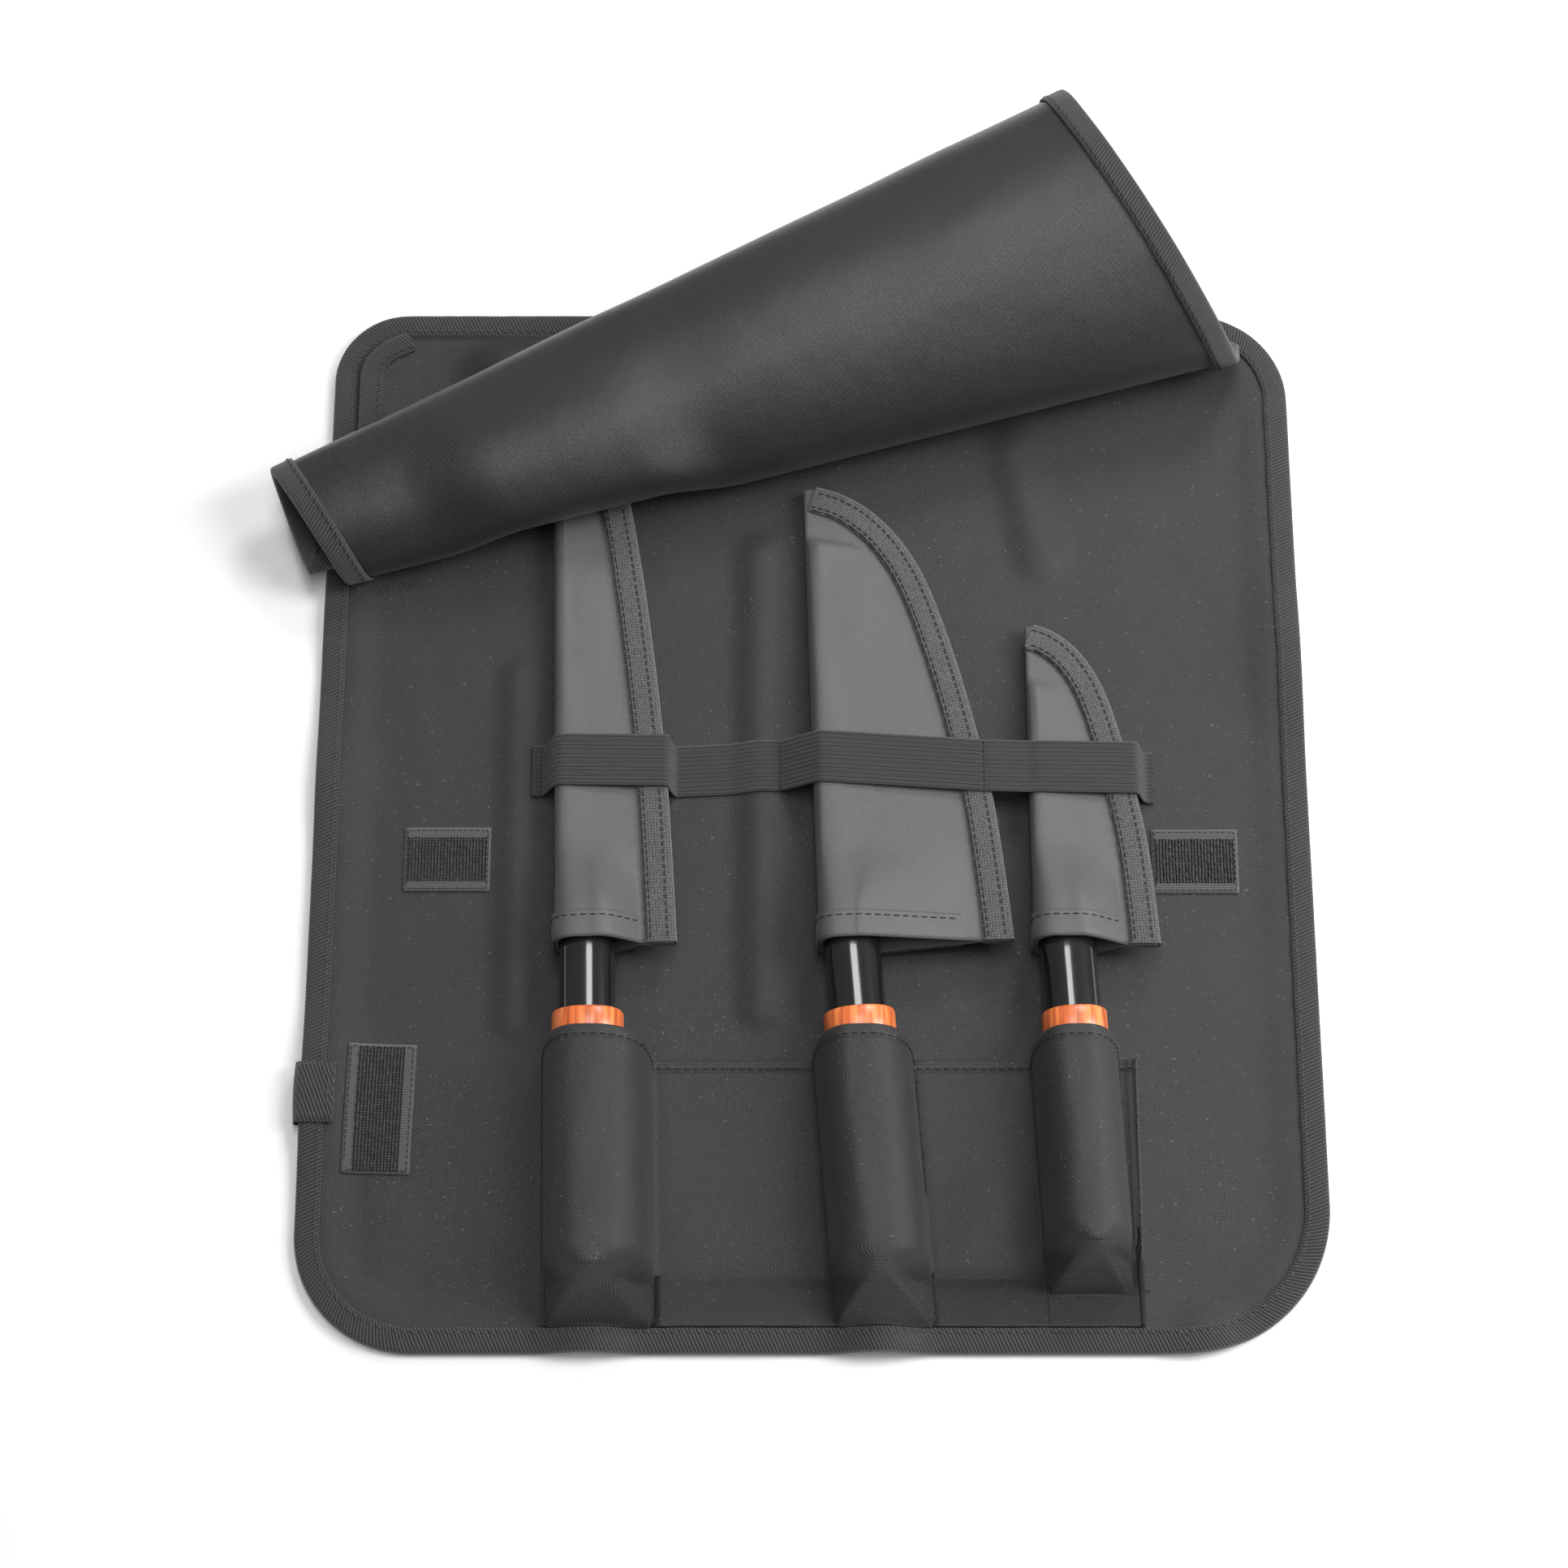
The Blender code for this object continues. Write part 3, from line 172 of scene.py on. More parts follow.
class Nodes:
    """Short hand for building one material's node tree."""

    def __init__(self, name, roughness, metallic=0.0):
        self.material = bpy.data.materials.new(name)
        self.material.use_nodes = True
        self.tree = self.material.node_tree
        self.shader = self.tree.nodes["Principled BSDF"]
        self.shader.inputs["Roughness"].default_value = roughness
        self.shader.inputs["Metallic"].default_value = metallic

    def add(self, kind, **settings):
        node = self.tree.nodes.new(kind)
        for name, value in settings.items():
            setattr(node, name, value)
        return node

    def link(self, start, end):
        self.tree.links.new(start, end)

    def put(self, socket, value):
        if isinstance(value, (int, float, tuple)):
            socket.default_value = value
        else:
            self.link(value, socket)

    def math(self, operation, a, b=0.0, clamp=False):
        node = self.add("ShaderNodeMath", operation=operation, use_clamp=clamp)
        self.put(node.inputs[0], a)
        self.put(node.inputs[1], b)
        return node.outputs[0]

    def uv(self, across=1.0, along=1.0, turn=0.0, shift=0.0):
        """The two flat cloth coordinates, in pitches."""
        spot = self.add("ShaderNodeUVMap")
        mapping = self.add("ShaderNodeMapping")
        self.link(spot.outputs[0], mapping.inputs["Vector"])
        mapping.inputs["Rotation"].default_value = (0.0, 0.0, turn)
        split = self.add("ShaderNodeSeparateXYZ")
        self.link(mapping.outputs[0], split.inputs[0])
        u = self.math("MULTIPLY", split.outputs[0], 1.0 / across)
        v = self.math("MULTIPLY", split.outputs[1], 1.0 / along)
        return self.math("ADD", u, shift), v

    def object_noise(self, scale, detail=3.0, stretch=(1.0, 1.0, 1.0)):
        spot = self.add("ShaderNodeTexCoord")
        mapping = self.add("ShaderNodeMapping")
        self.link(spot.outputs["Object"], mapping.inputs["Vector"])
        mapping.inputs["Scale"].default_value = stretch
        texture = self.add("ShaderNodeTexNoise")
        self.link(mapping.outputs[0], texture.inputs["Vector"])
        texture.inputs["Scale"].default_value = scale
        texture.inputs["Detail"].default_value = detail
        return texture.outputs["Fac"]

    def ramp(self, value, *stops):
        node = self.add("ShaderNodeValToRGB")
        self.put(node.inputs[0], value)
        elements = node.color_ramp.elements
        while len(elements) < len(stops):
            elements.new(0.5)
        for element, (place, colour) in zip(elements, stops):
            element.position = place
            element.color = (*colour, 1.0)
        return node.outputs["Color"]

    def blend(self, share, a, b, kind="MIX"):
        node = self.add("ShaderNodeMix", data_type="RGBA", blend_type=kind)
        self.put(node.inputs[0], share)
        self.put(node.inputs[6], (*a, 1.0) if isinstance(a, tuple) and len(a) == 3 else a)
        self.put(node.inputs[7], (*b, 1.0) if isinstance(b, tuple) and len(b) == 3 else b)
        return node.outputs[2]

    def bump(self, height, distance, strength=1.0, below=None):
        node = self.add("ShaderNodeBump")
        node.inputs["Strength"].default_value = strength
        node.inputs["Distance"].default_value = distance
        self.put(node.inputs["Height"], height)
        if below is not None:
            self.link(below, node.inputs["Normal"])
        self.link(node.outputs[0], self.shader.inputs["Normal"])
        return node.outputs[0]

    def arch(self, value):
        """Round thread profile: 0 between threads, 1 on top."""
        return self.math("ABSOLUTE", self.math("SINE", self.math("MULTIPLY", value, math.pi)))

    def float_height(self, across, along, twist):
        """Height of one thread where it floats over another: a slanted lens in its cell."""
        slanted = self.math("ADD", across, self.math("MULTIPLY", along, twist))
        side = self.math("POWER", self.math("MULTIPLY", self.math("ABSOLUTE", slanted), 1.9), 2.0)
        end = self.math("POWER", self.math("MULTIPLY", self.math("ABSOLUTE", along), 1.7), 2.0)
        return self.math("SUBTRACT", 1.0, self.math("ADD", side, end), clamp=True)

    def weave(self, pitch, turn=0.0):
        """Height of a plain weave: warp and weft threads float over each other in turn."""
        u, v = self.uv(pitch, pitch, turn)
        odd = self.math("PINGPONG", self.math("ADD", self.math("FLOOR", u), self.math("FLOOR", v)), 1.0)
        cell_u = self.math("SUBTRACT", self.math("FRACT", u), 0.5)
        cell_v = self.math("SUBTRACT", self.math("FRACT", v), 0.5)
        warp = self.math("MULTIPLY", self.float_height(cell_u, cell_v, 0.45), odd)
        weft = self.math("MULTIPLY", self.float_height(cell_v, cell_u, -0.45), self.math("SUBTRACT", 1.0, odd))
        return self.math("ADD", warp, self.math("MULTIPLY", weft, 0.45))


def canvas_material(name, pitch, dark, light, roughness, depth, sheen=0.1, speck=0.0):
    nodes = Nodes(name, roughness)
    height = nodes.weave(pitch)
    fibre = nodes.object_noise(2600.0, 2.0)
    wide = nodes.object_noise(26.0, 4.0)
    # Colour follows the weave's height: painted shade in the gaps between threads and a painted highlight on the thread
    # tops, mixed with the fibres' and the cloth's own random tone.
    thread_shade_and_tone = nodes.math("MULTIPLY", height, nodes.math("ADD", nodes.math("MULTIPLY", fibre, 0.7), 0.55))
    thread_shade_and_tone = nodes.math("MULTIPLY", thread_shade_and_tone, nodes.math("ADD", nodes.math("MULTIPLY", wide, 0.5), 0.75), clamp=True)
    colour = nodes.ramp(thread_shade_and_tone, (0.0, dark), (0.95, light))
    if speck:
        dust = nodes.object_noise(900.0, 1.0)
        grain = nodes.math("GREATER_THAN", dust, 0.735)
        colour = nodes.blend(nodes.math("MULTIPLY", grain, speck), colour, (0.32, 0.32, 0.33))
    nodes.link(colour, nodes.shader.inputs["Base Color"])
    rough = nodes.math("ADD", nodes.math("MULTIPLY", fibre, 0.25), roughness - 0.12)
    nodes.link(rough, nodes.shader.inputs["Roughness"])
    nodes.shader.inputs["Sheen Weight"].default_value = sheen
    nodes.shader.inputs["Sheen Roughness"].default_value = 0.4
    soft = nodes.bump(nodes.object_noise(60.0, 5.0), 0.0012, 0.35)
    nodes.bump(height, depth, 1.0, soft)
    return nodes.material


def ribbed_material(name, pitch, dark, light, roughness, depth, slant=0.0, across=False):
    """Woven tape: ribs across its width, or along it, with fibres."""
    nodes = Nodes(name, roughness)
    u, v = nodes.uv(1.0, 1.0, slant)
    run = nodes.math("MULTIPLY", v if across else u, 1.0 / pitch)
    rib = nodes.arch(run)
    cross = nodes.arch(nodes.math("MULTIPLY", u if across else v, 2.2 / pitch))
    height = nodes.math("ADD", nodes.math("MULTIPLY", rib, 0.75), nodes.math("MULTIPLY", cross, 0.25))
    fibre = nodes.object_noise(2200.0, 2.0)
    # Colour follows the rib height: painted shade in the valleys between ribs and a painted highlight on the rib tops,
    # mixed with the fibres' own tone.
    thread_shade_and_tone = nodes.math("MULTIPLY", height, nodes.math("ADD", nodes.math("MULTIPLY", fibre, 0.9), 0.4), clamp=True)
    nodes.link(nodes.ramp(thread_shade_and_tone, (0.0, dark), (0.95, light)), nodes.shader.inputs["Base Color"])
    nodes.shader.inputs["Sheen Weight"].default_value = 0.2
    nodes.shader.inputs["Sheen Roughness"].default_value = 0.5
    nodes.bump(height, depth, 1.0)
    return nodes.material


def felt_material(name, dark, light):
    nodes = Nodes(name, 0.9)
    fibre = nodes.object_noise(1500.0, 5.0)
    u, v = nodes.uv(0.0011, 0.0011)
    dots = nodes.math("MULTIPLY", nodes.arch(u), nodes.arch(v))
    height = nodes.math("ADD", fibre, nodes.math("MULTIPLY", dots, 0.35))
    # Colour follows the height: the raised dots get a painted highlight and the hollows between them painted shade; the
    # fibre noise is the felt's own random tone.
    nodes.link(nodes.ramp(height, (0.3, dark), (0.95, light)), nodes.shader.inputs["Base Color"])
    nodes.shader.inputs["Sheen Weight"].default_value = 0.35
    nodes.bump(height, 0.0003, 0.9)
    return nodes.material


def thread_material(name, colour):
    nodes = Nodes(name, 0.6)
    strand = nodes.object_noise(3000.0, 2.0)
    nodes.link(nodes.blend(strand, tuple(c * 0.6 for c in colour), colour), nodes.shader.inputs["Base Color"])
    nodes.bump(strand, 0.0001, 0.6)
    return nodes.material


def horn_material():
    nodes = Nodes("polished_horn", 0.14)
    cloud = nodes.object_noise(90.0, 4.0, (1.0, 0.15, 1.0))
    nodes.link(nodes.ramp(cloud, (0.3, (0.006, 0.006, 0.007)), (0.8, (0.020, 0.020, 0.022))),
               nodes.shader.inputs["Base Color"])
    nodes.shader.inputs["Coat Weight"].default_value = 0.6
    nodes.shader.inputs["Coat Roughness"].default_value = 0.06
    nodes.bump(nodes.object_noise(700.0, 2.0, (1.0, 0.1, 1.0)), 0.00003, 0.5)
    return nodes.material


def wood_material():
    nodes = Nodes("red_wood", 0.38)
    streak = nodes.object_noise(520.0, 4.0, (1.0, 0.045, 1.0))
    cloud = nodes.object_noise(120.0, 3.0, (1.0, 0.12, 1.0))
    colour = nodes.ramp(streak, (0.30, (0.17, 0.012, 0.004)), (0.47, (0.62, 0.10, 0.022)), (0.62, (0.90, 0.26, 0.07)))
    colour = nodes.blend(nodes.math("MULTIPLY", cloud, 0.5), colour, (0.95, 0.30, 0.09))
    nodes.link(colour, nodes.shader.inputs["Base Color"])
    nodes.shader.inputs["Coat Weight"].default_value = 0.35
    nodes.shader.inputs["Coat Roughness"].default_value = 0.2
    nodes.bump(streak, 0.00012, 0.6)
    return nodes.material


def steel_material():
    nodes = Nodes("ground_steel", 0.28, 1.0)
    grind = nodes.object_noise(900.0, 2.0, (0.03, 1.0, 1.0))
    nodes.link(nodes.ramp(grind, (0.3, (0.50, 0.51, 0.53)), (0.7, (0.66, 0.67, 0.69))),
               nodes.shader.inputs["Base Color"])
    nodes.bump(grind, 0.00003, 0.5)
    return nodes.material


MATERIALS = {
    "canvas": canvas_material("charcoal_canvas", 0.00058, (0.003, 0.003, 0.003), (0.052, 0.052, 0.053), 0.46,
                              0.00018, speck=0.25),
    "flap_canvas": canvas_material("flap_canvas", 0.00058, (0.003, 0.003, 0.003), (0.040, 0.040, 0.041), 0.36,
                                   0.00010, speck=0.05),
    "binding": ribbed_material("ribbed_binding", 0.00125, (0.002, 0.002, 0.002), (0.045, 0.045, 0.046), 0.6,
                               0.0004, math.radians(24)),
    "sheath": canvas_material("coated_cloth", 0.00036, (0.060, 0.060, 0.061), (0.130, 0.130, 0.132), 0.45,
                              0.00006),
    "sheath_tape": felt_material("felted_tape", (0.010, 0.010, 0.010), (0.130, 0.130, 0.132)),
    "elastic": ribbed_material("ribbed_elastic", 0.0007, (0.004, 0.004, 0.0045), (0.044, 0.045, 0.048), 0.75,
                               0.00025),
    "hook_tape": ribbed_material("patch_tape", 0.0006, (0.012, 0.012, 0.013), (0.120, 0.122, 0.126), 0.7, 0.0002),
    "hook": thread_material("hook_pile", (0.016, 0.016, 0.017)),
    "dark_thread": thread_material("dark_thread", (0.020, 0.020, 0.022)),
    "grey_thread": thread_material("grey_thread", (0.085, 0.087, 0.092)),
    "horn": horn_material(),
    "wood": wood_material(),
    "steel": steel_material(),
}


# ---------------------------------------------------------------- mesh helpers

def finish_piece(name, mesh, material, nodes=()):
    mesh.materials.append(MATERIALS[material])
    mesh.shade_smooth()
    piece = bpy.data.objects.new(name, mesh)
    bpy.context.scene.collection.objects.link(piece)
    if nodes:
        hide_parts(*nodes)
    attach(piece, "root")
    return piece


def surface(name, rows, uvs, material, nodes=(), wrap=False, thick=0.0, sharp=0.0):
    """Grid of points as one mesh with cloth coordinates; wrap joins the last column to the first."""
    count = len(rows[0])
    points = [tuple(point) for row in rows for point in row]
    faces = []
    corners = []
    for r in range(len(rows) - 1):
        for c in range(count if wrap else count - 1):
            d = (c + 1) % count
            quad = [r * count + c, r * count + d, (r + 1) * count + d, (r + 1) * count + c]
            u2 = c + 1
            corner = [(r, c), (r, u2), (r + 1, u2), (r + 1, c)]
            faces.append(quad)
            corners.append(corner)
    mesh = bpy.data.meshes.new(name)
    mesh.from_pydata(points, [], faces)
    layer = mesh.uv_layers.new(name="flat")
    for polygon, corner in zip(mesh.polygons, corners):
        for loop, (r, c) in zip(polygon.loop_indices, corner):
            layer.data[loop].uv = uvs(r, c)
    mesh.update()
    if sharp:
        mesh.set_sharp_from_angle(angle=sharp)
    piece = finish_piece(name, mesh, material, nodes)
    if thick:
        solid = piece.modifiers.new("thickness", "SOLIDIFY")
        solid.thickness = abs(thick)
        solid.offset = 1.0 if thick > 0 else -1.0
        solid.use_quality_normals = False
    return piece


def stitches(name, runs, material, length=0.0026, gap=0.0009, radius=0.00028, slant=0.0, sides=6):
    """Thread stitches laid along runs; a run is a list of (point, normal) pairs, closely spaced."""
    points = []
    faces = []
    for run in runs:
        travelled = [0.0]
        for (a, _), (b, _) in zip(run, run[1:]):
            travelled.append(travelled[-1] + (b - a).length)

        def at(distance, hint=[0]):
            i = hint[0] if travelled[hint[0]] <= distance else 0
            while i < len(run) - 2 and travelled[i + 1] < distance:
                i += 1
            hint[0] = i
            width = max(travelled[i + 1] - travelled[i], 1e-9)
            share = min(max((distance - travelled[i]) / width, 0.0), 1.0)
            point = run[i][0].lerp(run[i + 1][0], share)
            normal = run[i][1].lerp(run[i + 1][1], share).normalized()
            return point, normal

        start = gap
        while start + length < travelled[-1]:
            a, up = at(start)
            b, up_b = at(start + length)
            forward = (b - a).normalized()
            side = forward.cross(up).normalized()
            shift = side * slant * length / 2
            rings = []
            for share, size, lift in ((0.0, 0.25, -0.5), (0.16, 0.9, 0.35), (0.5, 1.0, 0.75), (0.84, 0.9, 0.35), (1.0, 0.25, -0.5)):
                middle = a.lerp(b, share) + shift * (2 * share - 1) + up * lift * radius
                ring = []
                for k in range(sides):
                    angle = 2 * math.pi * k / sides
                    offset = side * math.cos(angle) + up * math.sin(angle)
                    ring.append(middle + offset * radius * size)
                rings.append(ring)
            base = len(points)
            for ring in rings:
                points.extend(tuple(point) for point in ring)
            for r in range(len(rings) - 1):
                for k in range(sides):
                    m = (k + 1) % sides
                    faces.append((base + r * sides + k, base + r * sides + m,
                                  base + (r + 1) * sides + m, base + (r + 1) * sides + k))
            faces.append(tuple(base + k for k in reversed(range(sides))))
            faces.append(tuple(base + (len(rings) - 1) * sides + k for k in range(sides)))
            start += length + gap
    mesh = bpy.data.meshes.new(name)
    mesh.from_pydata(points, [], faces)
    mesh.update()
    return finish_piece(name, mesh, material)


# ---------------------------------------------------------------- panel

def corner_radius(x, y):
    return CORNER_RADII[(-1 if x < 0 else 1, -1 if y < 0 else 1)]


def edge_distance(x, y):
    """Distance inwards from the panel's rounded outline."""
    radius = corner_radius(x, y)
    qx = abs(x) - PANEL_WIDTH / 2 + radius
    qy = abs(y) - PANEL_DEPTH / 2 + radius
    outside = math.hypot(max(qx, 0.0), max(qy, 0.0))
    return radius - outside - min(max(qx, qy), 0.0)


def base_height(x, y):
    """Height of the panel's underside: rim on its tape, soft folds and small ripples."""
    total = (TAPE + EASE) * (1.0 - smooth((edge_distance(x, y) - BINDING_REACH - TAPE) / RIM_FADE))
    for x1, y1, x2, y2, half, height in FOLDS:
        start = Vector((x1 * PANEL_WIDTH / 2, y1 * PANEL_DEPTH / 2))
        along = Vector((x2 * PANEL_WIDTH / 2, y2 * PANEL_DEPTH / 2)) - start
        here = Vector((x, y)) - start
        share = min(max(here.dot(along) / along.length_squared, 0.0), 1.0)
        away = (here - along * share).length / half
        if away < 1.0:
            total += height * math.cos(math.pi * away / 2) ** 2
    waves = ripple(x, y, 0.045, 3.0) + 0.5 * ripple(x, y * 0.6, 0.016, 8.0)
    return total + RIPPLE * max(waves, 0.0)


RIPPLE = 0.0005


def panel_top(x, y):
    return base_height(x, y) + CLOTH


def outline(step=0.0011):
    """Stations round the panel's edge: point, outward normal and distance along."""
    half_x = PANEL_WIDTH / 2
    half_y = PANEL_DEPTH / 2
    stations = []
    for side_x, side_y, start in ((1, -1, -90.0), (1, 1, 0.0), (-1, 1, 90.0), (-1, -1, 180.0)):
        radius = corner_radius(side_x, side_y)
        centre = Vector((side_x * (half_x - radius), side_y * (half_y - radius)))
        arc = max(int(radius * math.pi / 2 / step), 4)
        for k in range(arc + 1):
            angle = math.radians(start + 90.0 * k / arc)
            normal = Vector((math.cos(angle), math.sin(angle)))
            stations.append((centre + normal * radius, normal))
    filled = []
    for (p, n), (q, m) in zip(stations, stations[1:] + stations[:1]):
        steps = max(int((q - p).length / step), 1)
        for k in range(steps):
            filled.append((p.lerp(q, k / steps), n.lerp(m, k / steps).normalized()))
    return filled


def base_panel():
    step = 0.0025
    columns = int(PANEL_WIDTH / step)
    lines = int(PANEL_DEPTH / step)
    inset = 0.0004
    rows = []
    flat = []
    for r in range(lines + 1):
        row = []
        for c in range(columns + 1):
            x = (c / columns - 0.5) * (PANEL_WIDTH - 2 * inset)
            y = (r / lines - 0.5) * (PANEL_DEPTH - 2 * inset)
            radius = corner_radius(x, y) - inset
            qx = abs(x) - (PANEL_WIDTH / 2 - inset - radius)
            qy = abs(y) - (PANEL_DEPTH / 2 - inset - radius)
            if qx > 0 and qy > 0:
                # the square corner is squeezed into its round
                reach = math.hypot(qx, qy)
                share = max(qx, qy) / reach
                x = math.copysign(PANEL_WIDTH / 2 - inset - radius + qx * share, x)
                y = math.copysign(PANEL_DEPTH / 2 - inset - radius + qy * share, y)
            row.append(Vector((x, y, panel_top(x, y))))
        rows.append(row)
        flat.append([(p.x, p.y) for p in row])
    piece = surface("panel_cloth", rows, lambda r, c: flat[r][c], "canvas", ("base_panel",), thick=-CLOTH)
    return piece


def tape_profile(reach, inner, wall, overhang, bulge=0.0):
    """Rounded U of a folded tape, from its upper inner edge round to its lower one: outward, height, run."""
    half = inner + wall
    points = [(-reach, inner + wall * 0.3), (-reach + 0.0003, half - 0.0001)]
    points += [(mix(-reach + 0.0008, -0.0006, k / 5), half + bulge * math.sin(math.pi * k / 5)) for k in range(6)]
    for k in range(1, 8):
        angle = math.pi / 2 - math.pi * k / 8
        points.append((overhang * math.cos(angle), half * math.sin(angle)))
    points += [(mix(-0.0006, -reach + 0.0003, k / 3), -half) for k in range(4)]
    points.append((-reach, -inner - wall * 0.3))
    runs = [0.0]
    for (a, b), (c, d) in zip(points, points[1:]):
        runs.append(runs[-1] + math.hypot(c - a, d - b))
    return [(a, b, run) for (a, b), run in zip(points, runs)]


def pucker(distance, seed):
    """Small irregular waves along a sewn tape."""
    return noise.noise(Vector((distance / 0.009, seed, 0.0))) + 0.5 * noise.noise(Vector((distance / 0.0035, seed, 5.0)))


def edge_binding():
    stations = outline()
    profile = tape_profile(BINDING_REACH, CLOTH / 2 + GAP, TAPE, TAPE + 0.0002, 0.0002)
    rows = []
    runs = []
    travelled = 0.0
    seam = []
    for number, (outer, normal) in enumerate(stations + stations[:1]):
        if number:
            travelled += (outer - stations[number - 1][0]).length
        wave = pucker(travelled % 1.41, 2.0)
        row = []
        for outward, height, _ in profile:
            reach = outward - 0.00025 * wave * smooth(-outward / BINDING_REACH)
            spot = outer + normal * reach
            ground = outer + normal * min(reach, 0.0)
            lift = 0.00018 * wave if height > 0 else 0.0
            level = base_height(*ground) + CLOTH / 2 + height + lift
            row.append(Vector((spot.x, spot.y, max(level, 0.0001))))
        rows.append(row)
        runs.append(travelled)
        spot = outer - normal * (BINDING_REACH - 0.0017)
        seam.append((Vector((spot.x, spot.y, panel_top(*spot) + GAP + TAPE + 0.00022)), Vector((0, 0, 1))))
    piece = surface("edge_tape", rows, lambda r, c: (runs[r], profile[c][2]), "binding",
                    ("edge_binding",))
    thread = stitches("edge_stitches", [seam], "grey_thread", 0.0024, 0.0007, 0.00022, 0.35)
    return piece, thread


# ---------------------------------------------------------------- flap

class Curl:
    """The cone that the flap is rolled on, by arc from the fold line about the apex."""

    def __init__(self):
        lowest = TAPE + EASE + CLOTH + GAP + TAPE + EASE
        self.apex = Vector((FLAP_LEFT - APEX_BEYOND, APEX_Y, lowest + FLAP_CLOTH / 2))
        self.root_y = PANEL_DEPTH / 2 - BINDING_REACH - GAP
        self.free_y = self.root_y - FLAP_LENGTH
        self.total = sum(length for _, length in CURL)
        along = Vector((math.cos(FOLD_ANGLE), math.sin(FOLD_ANGLE), 0.0))
        up = Vector((0.0, 0.0, 1.0))
        self.step = 0.002
        self.frames = [(along.copy(), up.copy())]
        travelled = 0.0
        while travelled < self.total + self.step:
            spin = -self.bend(travelled + self.step / 2) * along - up
            turn = Matrix.Rotation(spin.length * self.step, 3, spin)
            along = (turn @ along).normalized()
            up = (turn @ up).normalized()
            self.frames.append((along.copy(), up.copy()))
            travelled += self.step

    def bend(self, arc):
        heading = 0.0
        for reached, length in CURL:
            if arc <= length:
                return math.radians(reached - heading) / length
            arc -= length
            heading = reached
        return 0.0

    def left_x(self, y):
        return FLAP_LEFT - FLAP_FLARE * smooth((self.root_y - y) / FLAP_LENGTH * 2.0 - 1.0)

    def right_x(self, y):
        return FLAP_RIGHT - FLAP_TAPER * smooth((self.root_y - y) / FLAP_LENGTH * 1.3)

    def inside(self, x, y):
        """Whether a flat point lies in the flap's cut outline."""
        if not (self.left_x(y) <= x <= self.right_x(y) and self.free_y <= y <= self.root_y):
            return False
        radius = corner_radius(x, 1)
        qx = abs(x) - PANEL_WIDTH / 2 + radius
        qy = y - PANEL_DEPTH / 2 + radius
        if qx > 0 and qy > 0 and math.hypot(qx, qy) > radius - BINDING_REACH - 3 * GAP - TAPE:
            return False
        qx = x - self.right_x(y) + FLAP_CORNER
        qy = self.free_y + FLAP_CORNER - y
        return not (qx > 0 and qy > 0 and math.hypot(qx, qy) > FLAP_CORNER)

    def reach(self, angle, start, stop):
        """Farthest distance from the apex along a ray, between two distances, still in the outline."""
        for _ in range(30):
            middle = (start + stop) / 2
            if self.inside(self.apex.x + middle * math.cos(angle), self.apex.y + middle * math.sin(angle)):
                start = middle
            else:
                stop = middle
        return start

    def hump(self, x, y):
        """Lift of the flap where it lies over the first sheath."""
        middle = -0.0817 - math.tan(math.radians(1.5)) * (y - GRIP_Y) + 0.0433 * 0.37 - SPINE_OFFSET
        across = smooth((0.058 - abs(x - middle)) / 0.034)
        fold_y = self.apex.y + (x - self.apex.x) * math.tan(FOLD_ANGLE)
        rise = smooth((self.root_y - y - 0.001) / 0.018)
        fade = 1.0 - smooth((fold_y - y - 0.022) / 0.070)
        return 0.008 * across * rise * fade

    def place(self, x, y, height=0.0):
        """A flat point of the flap laid on the cone, and the cloth's normal there."""
        dx = x - self.apex.x
        dy = y - self.apex.y
        distance = math.hypot(dx, dy)
        arc = FOLD_ANGLE - math.atan2(dy, dx)
        lift = Vector((0.0, 0.0, self.hump(x, y)))
        soft = 0.0009 * ripple(x, y, 0.05, 21.0) + 0.0004 * ripple(x * 0.5, y, 0.018, 4.0)
        if arc <= 0.0:
            return Vector((x, y, self.apex.z + height)) + lift, Vector((0.0, 0.0, 1.0))
        number = min(int(arc / self.step), len(self.frames) - 2)
        share = arc / self.step - number
        along = self.frames[number][0].lerp(self.frames[number + 1][0], share).normalized()
        up = self.frames[number][1].lerp(self.frames[number + 1][1], share).normalized()
        wave = soft * smooth((arc - 0.05) / 0.05)
        return self.apex + along * distance + up * (height + wave) + lift, up

    def rows(self, steps, columns):
        """Flat rows of points: from the root to the fold, then along the cone's rays."""
        def ray(arc):
            angle = FOLD_ANGLE - arc
            middle = (APEX_BEYOND + 0.009) / math.cos(angle)
            left = self.reach(angle, middle, APEX_BEYOND * 0.7)
            right = self.reach(angle, middle, (APEX_BEYOND + PANEL_WIDTH) * 1.3)
            points = []
            for k in range(columns + 1):
                d = mix(left, right, k / columns)
                points.append((self.apex.x + d * math.cos(angle), self.apex.y + d * math.sin(angle)))
            return points

        fold = ray(0.0)
        root_left = FLAP_LEFT
        while not self.inside(root_left, self.root_y):
            root_left += 0.0002
        flat = []
        count = 26
        for k in range(count):
            share = 1.0 - k / count
            row = []
            for c, start in enumerate(fold):
                end = (mix(root_left, fold[-1][0], c / columns), self.root_y)
                row.append((mix(start[0], end[0], share), mix(start[1], end[1], share)))
            y = row[0][1]
            x = self.left_x(y)
            while not self.inside(x + 1e-6, y) and x < root_left:
                x += 0.0002
            shift = x - row[0][0]
            row = [(px + shift * (1 - c / columns) ** 4, py) for c, (px, py) in enumerate(row)]
            flat.append(row)
        return flat, [ray(self.total * k / steps) for k in range(steps + 1)]


def top_flap(curl):
    flat, rolled = curl.rows(150, 110)
    rows = flat + rolled
    placed = []
    for row in rows:
        line = []
        for x, y in row:
            spot, up = curl.place(x, y)
            line.append(spot + up * (FLAP_CLOTH / 2))
        placed.append(line)
    placed.reverse()
    rows.reverse()
    piece = surface("flap_cloth", placed, lambda r, c: rows[r][c], "flap_canvas", ("top_flap",),
                    thick=-FLAP_CLOTH)
    return flat, rolled


